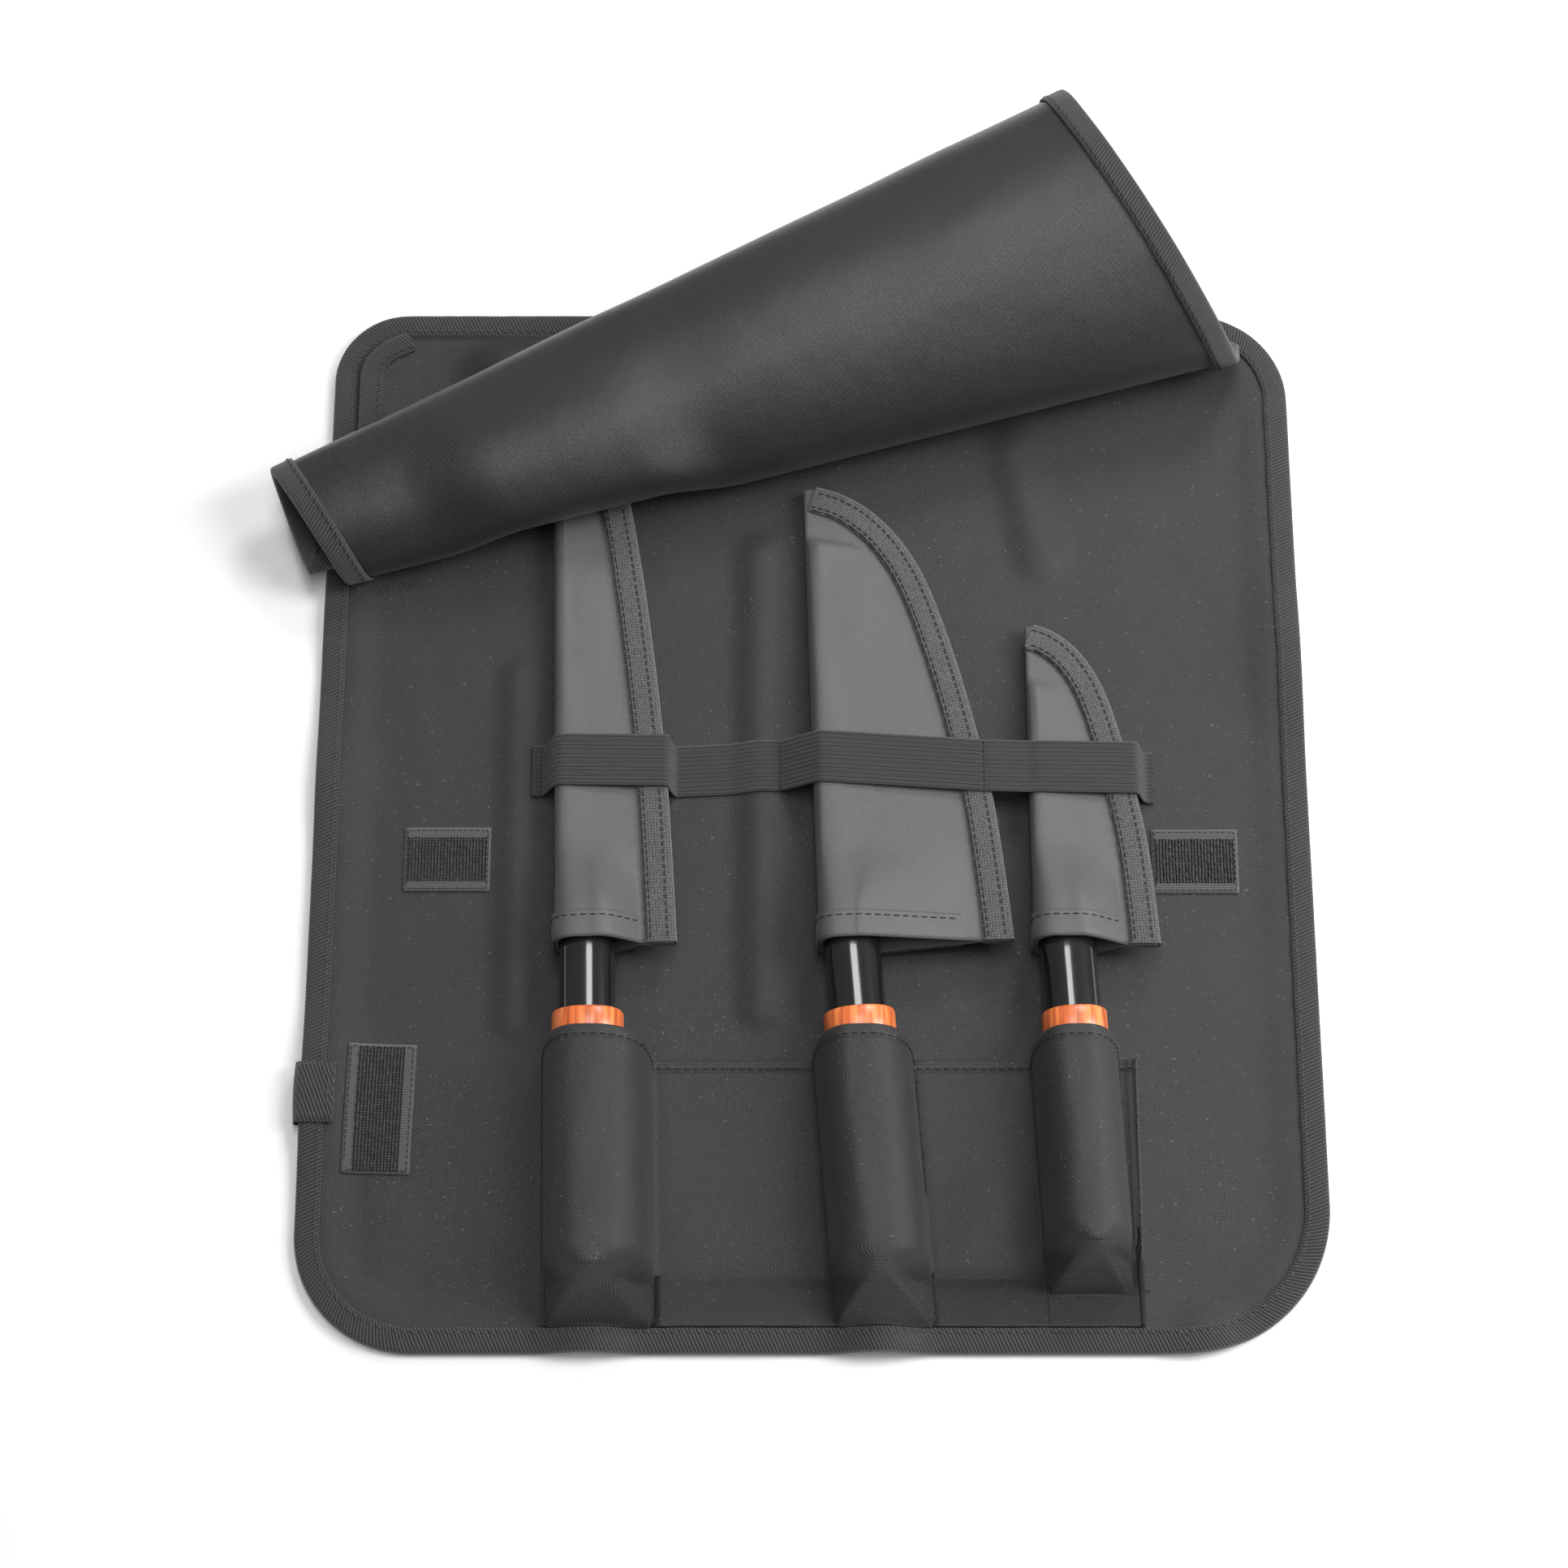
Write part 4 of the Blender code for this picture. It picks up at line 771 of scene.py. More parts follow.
def flap_binding(curl, flat, rolled):
    stop = curl.root_y - 0.004
    left = [row[0] for row in flat + rolled]
    free = rolled[-1][4:-4:4]
    right = [row[-1] for row in reversed(rolled) if row[-1][1] < stop]
    path = left + free + right
    path = [Vector(point) for point in path]
    even = [path[0]]
    for a, b in zip(path, path[1:]):
        length = (b - a).length
        steps = max(int(length / 0.0012), 1)
        even += [a.lerp(b, k / steps) for k in range(1, steps + 1)]
    slim = [even[0]]
    for point in even[1:]:
        if (point - slim[-1]).length > 0.0009:
            slim.append(point)
    path = slim
    profile = tape_profile(BINDING_REACH, FLAP_CLOTH / 2 + GAP, TAPE, TAPE + 0.0002, 0.0002)
    rows = []
    runs = []
    travelled = 0.0
    seams = ([], [])
    window = 5
    for i, point in enumerate(path):
        if i:
            travelled += (point - path[i - 1]).length
        before = path[max(i - window, 0)]
        after = path[min(i + window, len(path) - 1)]
        forward = (after - before).normalized()
        outward = Vector((forward.y, -forward.x))
        wave = pucker(travelled, 11.0)
        row = []
        for distance, height, _ in profile:
            reach = distance - 0.00025 * wave * smooth(-distance / BINDING_REACH)
            spot = point + outward * reach
            where, _ = curl.place(spot.x, min(spot.y, curl.root_y), height)
            row.append(where)
        rows.append(row)
        runs.append(travelled)
        spot = point - outward * (BINDING_REACH - 0.0017)
        for side, seam in zip((1, -1), seams):
            level = side * (FLAP_CLOTH / 2 + GAP + TAPE + 0.0002)
            where, up = curl.place(spot.x, min(spot.y, curl.root_y), level)
            seam.append((where, up * side))
    piece = surface("flap_tape", rows, lambda r, c: (runs[r], profile[c][2]), "binding",
                    ("flap_binding",))
    thread = stitches("flap_stitches", seams, "dark_thread", 0.0024, 0.0007, 0.00022, 0.35)
    return piece, thread


# ---------------------------------------------------------------- knives and sheaths

def table_value(table, share):
    """Smooth value of a two-column table, through its points."""
    last = len(table) - 1
    i = 0
    while i < last - 1 and share > table[i + 1][0]:
        i += 1
    x1, y1 = table[i]
    x2, y2 = table[i + 1]
    x0, y0 = table[max(i - 1, 0)]
    x3, y3 = table[min(i + 2, last)]
    slope1 = (y2 - y0) / (x2 - x0)
    slope2 = (y3 - y1) / (x3 - x1)
    width = x2 - x1
    t = (share - x1) / width
    return ((1 + 2 * t) * (1 - t) ** 2 * y1 + t * (1 - t) ** 2 * width * slope1
            + t * t * (3 - 2 * t) * y2 + t * t * (t - 1) * width * slope2)


def spline(points, steps):
    """Catmull-Rom curve through 2D points."""
    line = []
    for i in range(len(points) - 1):
        p0 = points[max(i - 1, 0)]
        p1 = points[i]
        p2 = points[i + 1]
        p3 = points[min(i + 2, len(points) - 1)]
        for k in range(steps):
            t = k / steps
            line.append(tuple(
                0.5 * (2 * b + (c - a) * t + (2 * a - 5 * b + 4 * c - d) * t * t + (3 * b - a - 3 * c + d) * t ** 3)
                for a, b, c, d in zip(p0, p1, p2, p3)
            ))
    line.append(tuple(points[-1]))
    return line


class Knife:
    """One knife in its sheath. Local frame: +Y to the tip, +X to the edge, origin at the ferrule's front."""

    def __init__(self, row):
        for column, value in zip(KNIFE_COLUMNS, row):
            setattr(self, column, value)
        self.mouth = -SHEATH_OVERLAP
        self.left = -SPINE_OFFSET
        tilt = Matrix.Rotation(-math.atan(self.drop), 4, "X")
        place = Matrix.Translation((self.x, GRIP_Y, AXIS_HEIGHT))
        self.blade_matrix = place @ Matrix.Rotation(math.radians(self.sheath_yaw), 4, "Z") @ tilt
        self.grip_matrix = place @ Matrix.Rotation(math.radians(self.handle_yaw), 4, "Z") @ tilt

    def y_at(self, share):
        return self.mouth + self.length * share

    def right(self, y):
        share = min(max((y - self.mouth) / self.length, 0.0), 1.0)
        return self.left + self.width * table_value(SHEATH_EDGE, share)

    def seam(self, y):
        clear = SEAM_WIDTH + 4 * GAP
        least = self.right(y) - clear
        for step in range(-8, 9):
            away = clear * step / 8
            if y + away <= self.y_at(1.0):
                least = min(least, self.right(y + away) - math.sqrt(clear * clear - away * away))
        ending = smooth((y - self.y_at(1.0) + 2.2 * clear) / (0.7 * clear))
        return max(mix(least, self.left, ending), self.left + SEAM_HALF_THICK)

    def spine_half(self, y):
        room = (self.seam(y) - self.left - 0.004) / 0.016
        return mix(SEAM_HALF_THICK, self.spine, smooth(room))

    def outer_line(self, y):
        """Upper outer line of the sheath's section, from the spine side to the seam."""
        half = self.spine_half(y)
        seam = self.seam(y)
        flat = SEAM_HALF_THICK
        span = seam - self.left

        def slope(x):
            start = self.left + half
            return mix(half, flat, min(max((x - start) / max(seam - start, 1e-6), 0.0), 1.0))

        wide = FERRULE_HALF_WIDTH + SHEATH_CLOTH + 2 * GAP
        tall = FERRULE_HALF_THICK + SHEATH_CLOTH + 2 * GAP
        x3 = self.left + max(span * 0.30, half)
        x4 = self.left + max(span * 0.55, half)
        slim = [(self.left, 0.0), (self.left + half * 0.3, half * 0.72), (self.left + half, half), (x3, slope(x3)),
                (x4, slope(x4))]
        full = [(-wide, 0.0), (-wide * 0.97, tall * 0.62), (-wide * 0.62, tall * 0.985), (wide * 0.05, tall * 1.03),
                (wide * 0.68, tall * 0.96)]
        share = 1.0 - smooth((y - 0.002) / SWELL_LENGTH)
        line = [(mix(x1, x2, share), mix(z1, z2, share)) for (x1, z1), (x2, z2) in zip(slim, full)]
        line.append((seam, flat))
        return line

    def section(self, y, inward=0.0):
        """Closed smooth section of the sheath's cloth, top from spine to edge, then back below."""
        top = spline(self.outer_line(y), 5)
        edge = self.right(y)
        top += [(mix(top[-1][0], edge, k / 3), SEAM_HALF_THICK) for k in (1, 2, 3)]
        return top + [(x, -z) for x, z in reversed(top[1:])]

    def top_z(self, x, y):
        """Upper surface of the sheath at a local place."""
        line = spline(self.outer_line(y), 5)
        if x >= line[-1][0]:
            return SEAM_HALF_THICK
        for (x1, z1), (x2, z2) in zip(line, line[1:]):
            if x1 <= x <= x2 and x2 > x1:
                return mix(z1, z2, (x - x1) / (x2 - x1))
        return line[0][1]


def sheath(knife):
    matrix = knife.blade_matrix
    count = int(knife.length / 0.0022)
    rows = []
    runs = []
    sections = []
    for r in range(count + 1):
        y = knife.y_at(r / count)
        loop = knife.section(y)
        run = [0.0]
        for (x1, z1), (x2, z2) in zip(loop, loop[1:]):
            run.append(run[-1] + math.hypot(x2 - x1, z2 - z1))
        row = []
        for x, z in loop:
            room = smooth((knife.seam(y) - x) / 0.008) * smooth((x - knife.left) / 0.004)
            calm = smooth((y - 0.004) / 0.02)
            dent = 0.00045 * room * calm * (ripple(x * 1.4, y * 0.5, 0.014, 31.0) - 0.25)
            row.append(matrix @ Vector((x, y, z + math.copysign(dent, z) if z > 0 else z)))
        rows.append(row)
        runs.append(run)
        sections.append(y)
    inner = []
    for depth in (0.0, 0.004, 0.010, 0.018):
        y = knife.mouth + depth
        loop = knife.section(y)
        middle = sum(x for x, _ in loop) / len(loop)
        row = []
        for x, z in loop:
            sx = x + math.copysign(min(SHEATH_CLOTH, abs(middle - x)), middle - x)
            sz = z - math.copysign(min(SHEATH_CLOTH * 0.98, abs(z) * 0.95), z)
            row.append(matrix @ Vector((sx, y, sz)))
        inner.append(row)
    body_rows = list(reversed(inner)) + rows
    offset = len(inner)

    def flat(r, c):
        n = len(runs[0]) - 1
        if r < offset:
            return (runs[0][min(c, n)], -0.02 + 0.005 * r)
        r -= offset
        return (runs[r][min(c, n)] if c <= n else runs[r][-1], sections[r])

    name = knife.name + "_sheath"
    piece = surface(name + "_cloth", body_rows, flat, "sheath", (name,), wrap=True)
    return piece


def sheath_binding(knife):
    matrix = knife.blade_matrix
    profile = tape_profile(SEAM_WIDTH - GAP, SEAM_HALF_THICK + GAP, TAPE, TAPE + 0.0002, 0.00025)
    count = int(knife.length / 0.0011)
    path = [Vector((knife.right(knife.y_at(k / count)), knife.y_at(k / count))) for k in range(count + 1)]
    even = [path[0]]
    for a, b in zip(path, path[1:]):
        steps = max(int((b - a).length / 0.0014), 1)
        even += [a.lerp(b, k / steps) for k in range(1, steps + 1)]
    path = even
    rows = []
    runs = []
    travelled = 0.0
    seams = [[], [], []]
    window = 4
    for i, point in enumerate(path):
        if i:
            travelled += (point - path[i - 1]).length
        before = path[max(i - window, 0)]
        after = path[min(i + window, len(path) - 1)]
        forward = (after - before).normalized()
        normal = Vector((forward.y, -forward.x))
        if normal.x < 0:
            normal = -normal
        wave = pucker(travelled, 5.0 + knife.x * 100)
        row = []
        limit = (knife.left - GAP - point.x) / max(normal.x, 0.25)
        for outward, height, _ in profile:
            reach = outward
            if outward < 0.0:
                reach = max(outward + 0.00035 * wave * smooth(-outward / SEAM_WIDTH), limit)
            spot = point + normal * reach
            lift = 0.00012 * wave if height > 0 else 0.0
            row.append(matrix @ Vector((spot.x, max(spot.y, knife.mouth), height + lift)))
        rows.append(row)
        runs.append(travelled)
        for inset, seam in zip((0.0020, 0.0081, 0.0094), seams):
            if -inset < limit + 0.001:
                continue
            spot = point - normal * inset
            if spot.y < knife.mouth + 0.0004:
                continue
            level = SEAM_HALF_THICK + GAP + TAPE + (0.00042 if inset < 0.009 else 0.00005)
            seam.append((matrix @ Vector((spot.x, spot.y, level)), matrix.to_3x3() @ Vector((0, 0, 1))))
    name = knife.name + "_sheath_binding"
    piece = surface(knife.name + "_felt_tape", rows, lambda r, c: (runs[r], profile[c][2]), "sheath_tape",
                    (name,))
    lines = [seam for seam in seams[:2] if len(seam) > 4]
    thread = stitches(knife.name + "_felt_stitches", lines, "dark_thread", 0.0021, 0.0008, 0.00022)
    dark = stitches(knife.name + "_felt_seam", [seams[2]], "dark_thread", 0.0052, 0.0, 0.00034)
    return piece, thread, dark


def mouth_band(knife):
    """Turned hem round the sheath's mouth, with its line of stitches."""
    matrix = knife.blade_matrix
    rows = []
    runs = []
    levels = [(-GAP, 0.2), (0.0002, 0.85), (0.0010, 1.05), (0.0030, 1.0), (0.0055, 1.0), (0.0068, 0.85), (0.0078, 0.7),
              (0.0088, 1.0), (0.0097, 0.9), (0.0100, 0.0)]
    seam_top = []
    for away, share in levels:
        y = knife.mouth + away
        shrink = knife.seam(y) - 3 * GAP
        line = [(x, z) for x, z in spline(knife.outer_line(y), 5) if x <= shrink]
        loop = [(x, -z) for x, z in reversed(line[1:])] + line
        centre = (0.5 * (line[0][0] + line[-1][0]), 0.0)
        row = []
        run = [0.0]
        for i, (x, z) in enumerate(loop):
            a = loop[max(i - 1, 0)]
            b = loop[min(i + 1, len(loop) - 1)]
            out = Vector((-(b[1] - a[1]), b[0] - a[0])).normalized()
            if out.dot(Vector((x - centre[0], z))) < 0:
                out = -out
            thick = GAP * 0.5 + 0.0009 * share
            row.append(matrix @ Vector((x + out.x * thick, y, z + out.y * thick)))
            if i:
                run.append(run[-1] + math.hypot(x - a[0], z - a[1]))
            if abs(away - 0.0078) < 1e-6 and z > 0:
                spot = matrix @ Vector((x + out.x * (thick + 0.0001), y, z + out.y * (thick + 0.0001)))
                seam_top.append((spot, matrix.to_3x3() @ Vector((out.x, 0, out.y))))
        rows.append(row)
        runs.append((run, away))
    least = min(len(row) for row in rows)
    rows = [row[(len(row) - least) // 2:(len(row) - least) // 2 + least] for row in rows]
    name = knife.name + "_mouth_band"
    piece = surface(knife.name + "_hem", rows, lambda r, c: (runs[r][0][min(c, least - 1)], runs[r][1]), "sheath",
                    (name,))
    thread = stitches(knife.name + "_hem_stitches", [seam_top], "dark_thread", 0.0026, 0.0009, 0.00024)
    return piece, thread


def oval(half_width, half_thick, y, count=64):
    loop = []
    for i in range(count):
        angle = 2 * math.pi * i / count
        c = math.cos(angle)
        s = math.sin(angle)
        loop.append(Vector((math.copysign(abs(c) ** 0.85, c) * half_width, y, math.copysign(abs(s) ** 0.85, s) * half_thick)))
    return loop


def turned(name, sections, matrix, material, node, closed=False):
    rows = [[matrix @ point for point in oval(w, t, y)] for y, w, t in sections]
    if closed:
        rows.append(rows[0])
    else:
        for end in (0, -1):
            middle = sum(rows[end], Vector()) / len(rows[end])
            rows.insert(0 if end == 0 else len(rows), [middle.copy() for _ in rows[end]])
    return surface(name, rows, lambda r, c: (0.0015 * c, 0.01 * r), material, node, wrap=True, sharp=math.radians(40))


def knife_set(knife):
    pieces = [sheath(knife)]
    pieces += sheath_binding(knife)
    pieces += mouth_band(knife)
    w = FERRULE_HALF_WIDTH
    t = FERRULE_HALF_THICK
    wide_w = knife.half_width - 0.0008
    wide_t = knife.half_thick - 0.0008
    collar_from = -FERRULE_LENGTH
    collar_to = collar_from - COLLAR_LENGTH
    grip = (
        (0.0, w * 0.90, t * 0.90), (-0.0003, w * 0.97, t * 0.97), (-0.0012, w, t), (-0.012, w, t),
        (-0.024, w, t), (collar_from - GAP, w, t), (collar_from - GAP, w * 0.7, t * 0.7),
        (collar_to - GAP, w * 0.7, t * 0.7), (collar_to - GAP, wide_w, wide_t), (-0.07, wide_w, wide_t),
        (-0.105, wide_w, wide_t), (-0.1075, wide_w * 0.92, wide_t * 0.92), (-0.108, wide_w * 0.8, wide_t * 0.8),
    )
    pieces.append(turned(knife.name + "_grip", grip, knife.grip_matrix, "horn", (knife.name + "_handle",)))
    front = collar_from - 2 * GAP
    back = collar_to
    hw = knife.half_width
    ht = knife.half_thick
    ring = (
        (front, hw - 0.0009, ht - 0.0009), (front - 0.0003, hw - 0.0003, ht - 0.0003), (front - 0.0009, hw, ht),
        (back + 0.0009, hw, ht), (back + 0.0003, hw - 0.0003, ht - 0.0003), (back, hw - 0.0009, ht - 0.0009),
        (back, w * 0.7 + GAP, t * 0.7 + GAP), (front, w * 0.7 + GAP, t * 0.7 + GAP),
    )
    pieces.append(turned(knife.name + "_wood_ring", ring, knife.grip_matrix, "wood", (knife.name + "_collar",), True))
    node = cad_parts[knife.name + "_blade"]
    node.data.materials.clear()
    node.data.materials.append(MATERIALS["steel"])
    return pieces


# ---------------------------------------------------------------- elastic band

def upper_hull(points):
    hull = []
    for point in sorted(points):
        while len(hull) > 1:
            (x1, y1), (x2, y2) = hull[-2], hull[-1]
            if (x2 - x1) * (point[1] - y1) - (y2 - y1) * (point[0] - x1) >= 0:
                hull.pop()
            else:
                break
        hull.append(point)
    return hull


def height_on(line, x):
    for (x1, z1), (x2, z2) in zip(line, line[1:]):
        if x <= x2:
            return mix(z1, z2, min(max((x - x1) / max(x2 - x1, 1e-9), 0.0), 1.0))
    return line[-1][1]


def elastic_band(knives):
    half = ELASTIC_WIDTH / 2
    spots = ELASTIC_STITCHES

    def floor(x, y):
        return max(panel_top(x, y + k * half) for k in (-1, -0.5, 0, 0.5, 1)) + GAP * 1.5

    def middle_y(x):
        for (x1, y1), (x2, y2) in zip(spots, spots[1:]):
            if x <= x2:
                return mix(y1, y2, max(x - x1, 0.0) / (x2 - x1))
        return spots[-1][1]

    line = []
    for (x1, y1), (x2, y2), knife in zip(spots, spots[1:], (knives[0], None, knives[1], knives[2])):
        part = [(x1, floor(x1, y1)), (x2, floor(x2, y2))]
        if knife is None:
            part = [(mix(x1, x2, k / 20), floor(mix(x1, x2, k / 20), middle_y(mix(x1, x2, k / 20)))) for k in range(21)]
        else:
            for world_y in (y1 - half, (y1 + y2) / 2, y2 + half):
                y = (world_y - GRIP_Y) / math.cos(math.radians(knife.sheath_yaw))
                top = spline(knife.outer_line(y), 5)
                felt = SEAM_HALF_THICK + GAP + TAPE + 0.0004
                top += [(knife.seam(y) + GAP, felt), (knife.right(y) + TAPE, felt)]
                for x, z in top[1:]:
                    spot = knife.blade_matrix @ Vector((x, y, z + EASE + 0.0002))
                    part.append((spot.x, spot.z))
            part = upper_hull(part)
        line += part if not line else part[1:]
    step = 0.0008
    start = spots[0][0] - 0.0042
    stop = spots[-1][0] + 0.0038
    count = int((stop - start) / step)
    xs = [mix(start, stop, k / count) for k in range(count + 1)]
    low = [max(height_on(line, x), floor(x, middle_y(x)) if not spots[0][0] < x < spots[-1][0] else 0.0) for x in xs]
    eased = list(low)
    for _ in range(3):
        eased = [max(low[k], (eased[max(k - 1, 0)] + eased[k] + eased[min(k + 1, count)]) / 3) for k in range(count + 1)]
    ribs = 12
    across = ribs * 4
    rows = []
    flat = []
    run = 0.0
    runs = []
    for k, (x, z) in enumerate(zip(xs, eased)):
        if k:
            run += math.hypot(x - xs[k - 1], z - eased[k - 1])
        runs.append(run)
        slope = (eased[min(k + 1, count)] - eased[max(k - 1, 0)]) / (2 * step)
        tilt = 1.0 / math.hypot(1.0, slope)
        out = Vector((-slope * tilt, 0.0, tilt))
        near = min(abs(x - sx) for sx, _ in spots)
        pinch = 1.0 - smooth(near / 0.0016)
        width = half * (1.0 - 0.02 * pinch + 0.006 * noise.noise(Vector((x * 300, 0, 2))))
        double = 0.0006 if x < spots[0][0] - 0.0004 or x > spots[-1][0] + 0.0004 else 0.0
        row = []
        for c in range(across + 1):
            share = c / across
            rib = abs(math.sin(math.pi * ribs * share)) ** 0.7
            thick = ELASTIC_CLOTH * (0.66 + 0.24 * rib) * (1.0 - 0.30 * pinch) + double
            y = middle_y(x) + (2 * share - 1) * width
            row.append(Vector((x, y, z)) + out * thick)
        for share in (1.0, 0.5, 0.0):
            row.append(Vector((x, middle_y(x) + (2 * share - 1) * width, z)) + out * 0.0001)
        rows.append(row)
    for end in (0, -1):
        middle = sum(rows[end], Vector()) / len(rows[end])
        rows.insert(0 if end == 0 else len(rows), [middle.copy() for _ in rows[end]])
        runs.insert(0 if end == 0 else len(runs), runs[end])
    last = across + 1
    piece = surface("elastic", rows, lambda r, c: (min(c, last) / across * ELASTIC_WIDTH, runs[r]), "elastic",
                    ("elastic_band",), wrap=True)
    seams = []
    for number, (x, y) in enumerate(spots):
        for shift in ((-0.0004,) if 0 < number < 4 else (-0.0006, 0.0006)):
            z = height_on(list(zip(xs, eased)), x + shift) + ELASTIC_CLOTH * 0.72
            seams.append([(Vector((x + shift, y + half * k / 8, z)), Vector((0, 0, 1))) for k in range(-8, 9)])
    thread = stitches("elastic_stitches", seams, "dark_thread", 0.0022, 0.0006, 0.00024)
    return piece, thread


# ---------------------------------------------------------------- pockets

def soft_min(a, b, width):
    share = min(max(0.5 + 0.5 * (b - a) / width, 0.0), 1.0)
    return mix(b, a, share) - width * share * (1.0 - share)


def pocket_axis(knife, y):
    return knife.x + (GRIP_Y - y) * math.tan(math.radians(knife.handle_yaw))


def pocket_height(knife, size, x, y):
    """Height of the pocket's cloth above the panel at a place, 0 on the flat."""
    left, right, end_from, end_to = size
    axis = pocket_axis(knife, y)
    side = (x - axis) / (left if x < axis else right)
    if abs(side) >= 1.0:
        return 0.0
    ending = smooth((end_from + 0.008 - y) / 0.012)
    power = mix(2.9, 1.12, ending)
    arch = (1.0 - abs(side) ** power) ** (1.0 / power)
    fall = min(max((y - end_to) / (end_from - end_to), 0.0), 1.0)
    share = max(soft_min(arch, fall, 0.10), 0.0) if fall < 1.0 else arch
    crown = AXIS_HEIGHT + knife.drop * (GRIP_Y - y) + knife.half_thick + EASE * 2
    ground = panel_top(x, y) + EASE
    crease = 0.0010 * ripple(x * 1.6, y * 0.35, 0.010, 40.0 + knife.x) * smooth(arch * 2.0) * (1.0 - arch * 0.6)
    return max(crown - ground, 0.0) * share + crease * (1.0 - ending * 0.3)


def pocket_strip(knives):
    lines = 120
    arch_steps = 44
    rows = []
    runs = []
    for r in range(lines + 1):
        level = r / lines
        y0 = mix(POCKET_TOP, POCKET_BOTTOM, level)
        row = []

        def flat_point(x, lift=0.0):
            row.append(Vector((x, y0, panel_top(x, y0) + EASE + lift)))

        for number, (knife, size) in enumerate(zip(knives, POCKETS)):
            axis = pocket_axis(knife, y0)
            left = axis - size[0]
            right = axis + size[1]
            if number == 0:
                flat_point(left - 0.0022)
                flat_point(left - 0.0008)
            for k in range(arch_steps + 1):
                side = -math.cos(math.pi * k / arch_steps)
                across = math.copysign(abs(side) ** 0.72, side)
                x = axis + across * (size[0] if side < 0 else size[1])
                rise = POCKET_RISE * (1.0 - abs(across) ** 2.6) ** (1 / 2.6) * (1.0 - level)
                y = y0 + rise
                z = panel_top(x, y) + EASE + pocket_height(knife, size, x, y)
                row.append(Vector((x, y, z)))
            if number < 2:
                following = knives[number + 1]
                start = pocket_axis(following, y0) - POCKETS[number + 1][0]
                for k in range(1, 16):
                    flat_point(mix(right, start, k / 16))
            else:
                for share in (0.2, 0.4, 0.6, 0.8):
                    x = mix(right, FIN_X, share)
                    flat_point(x, 0.0018 * smooth(1.0 - abs(share - 0.75) * 4) * smooth((0.80 - level) * 8))
                stand = 0.0030 * (1.0 - 0.7 * smooth(level * 8 - 6.2))
                flat_point(FIN_X - 0.0010, stand * 0.55)
                flat_point(FIN_X - 0.0004, stand)
                flat_point(FIN_X, stand)
        hem = 0.0005 * smooth((0.0040 - (POCKET_TOP - y0)) / 0.0006)
        for point in row:
            point.z += hem
        rows.append(row)
        runs.append(POCKET_TOP - y0)
    around = []
    for row in rows:
        run = [0.0]
        for a, b in zip(row, row[1:]):
            run.append(run[-1] + (b - a).length)
        around.append(run)
    piece = surface("pocket_cloth", [list(reversed(row)) for row in rows],
                    lambda r, c: (around[r][len(around[r]) - 1 - c], runs[r]), "canvas", ("pocket_strip",),
                    thick=POCKET_CLOTH)
    up = Vector((0, 0, 1))
    hem_row = next(k for k, run in enumerate(runs) if run > 0.0031)
    hem_line = []
    line = rows[hem_row]
    for k, point in enumerate(line):
        a = line[max(k - 1, 0)]
        b = line[min(k + 1, len(line) - 1)]
        normal = Vector((-(b.z - a.z), 0.0, b.x - a.x)).normalized()
        hem_line.append((point + normal * (POCKET_CLOTH + 0.0001), normal))
    seams = [hem_line]
    for number, (knife, size) in enumerate(zip(knives, POCKETS)):
        sides = (-size[0] - 0.0009, size[1] + 0.0011)
        for reach in sides:
            if number == 2 and reach > 0:
                continue
            run = []
            for k in range(61):
                y = mix(POCKET_TOP, POCKET_BOTTOM, k / 60)
                x = pocket_axis(knife, y) + reach
                run.append((Vector((x, y, panel_top(x, y) + EASE + POCKET_CLOTH + 0.0001)), up))
            seams.append(run)
    run = []
    knife = knives[2]
    for k in range(41):
        x = mix(pocket_axis(knife, -0.183) - 0.0130, FIN_X + 0.004, k / 40)
        y = mix(-0.1836, -0.1806, smooth(k / 30))
        lift = POCKET_CLOTH if x < FIN_X else 0.0
        run.append((Vector((x, y, panel_top(x, y) + EASE + lift + pocket_height(knife, POCKETS[2], x, y))), up))
    seams.append(run)
    thread = stitches("pocket_stitches", seams, "dark_thread", 0.0025, 0.0008, 0.00022)
    return piece, thread


# ---------------------------------------------------------------- patches, tab and loose threads

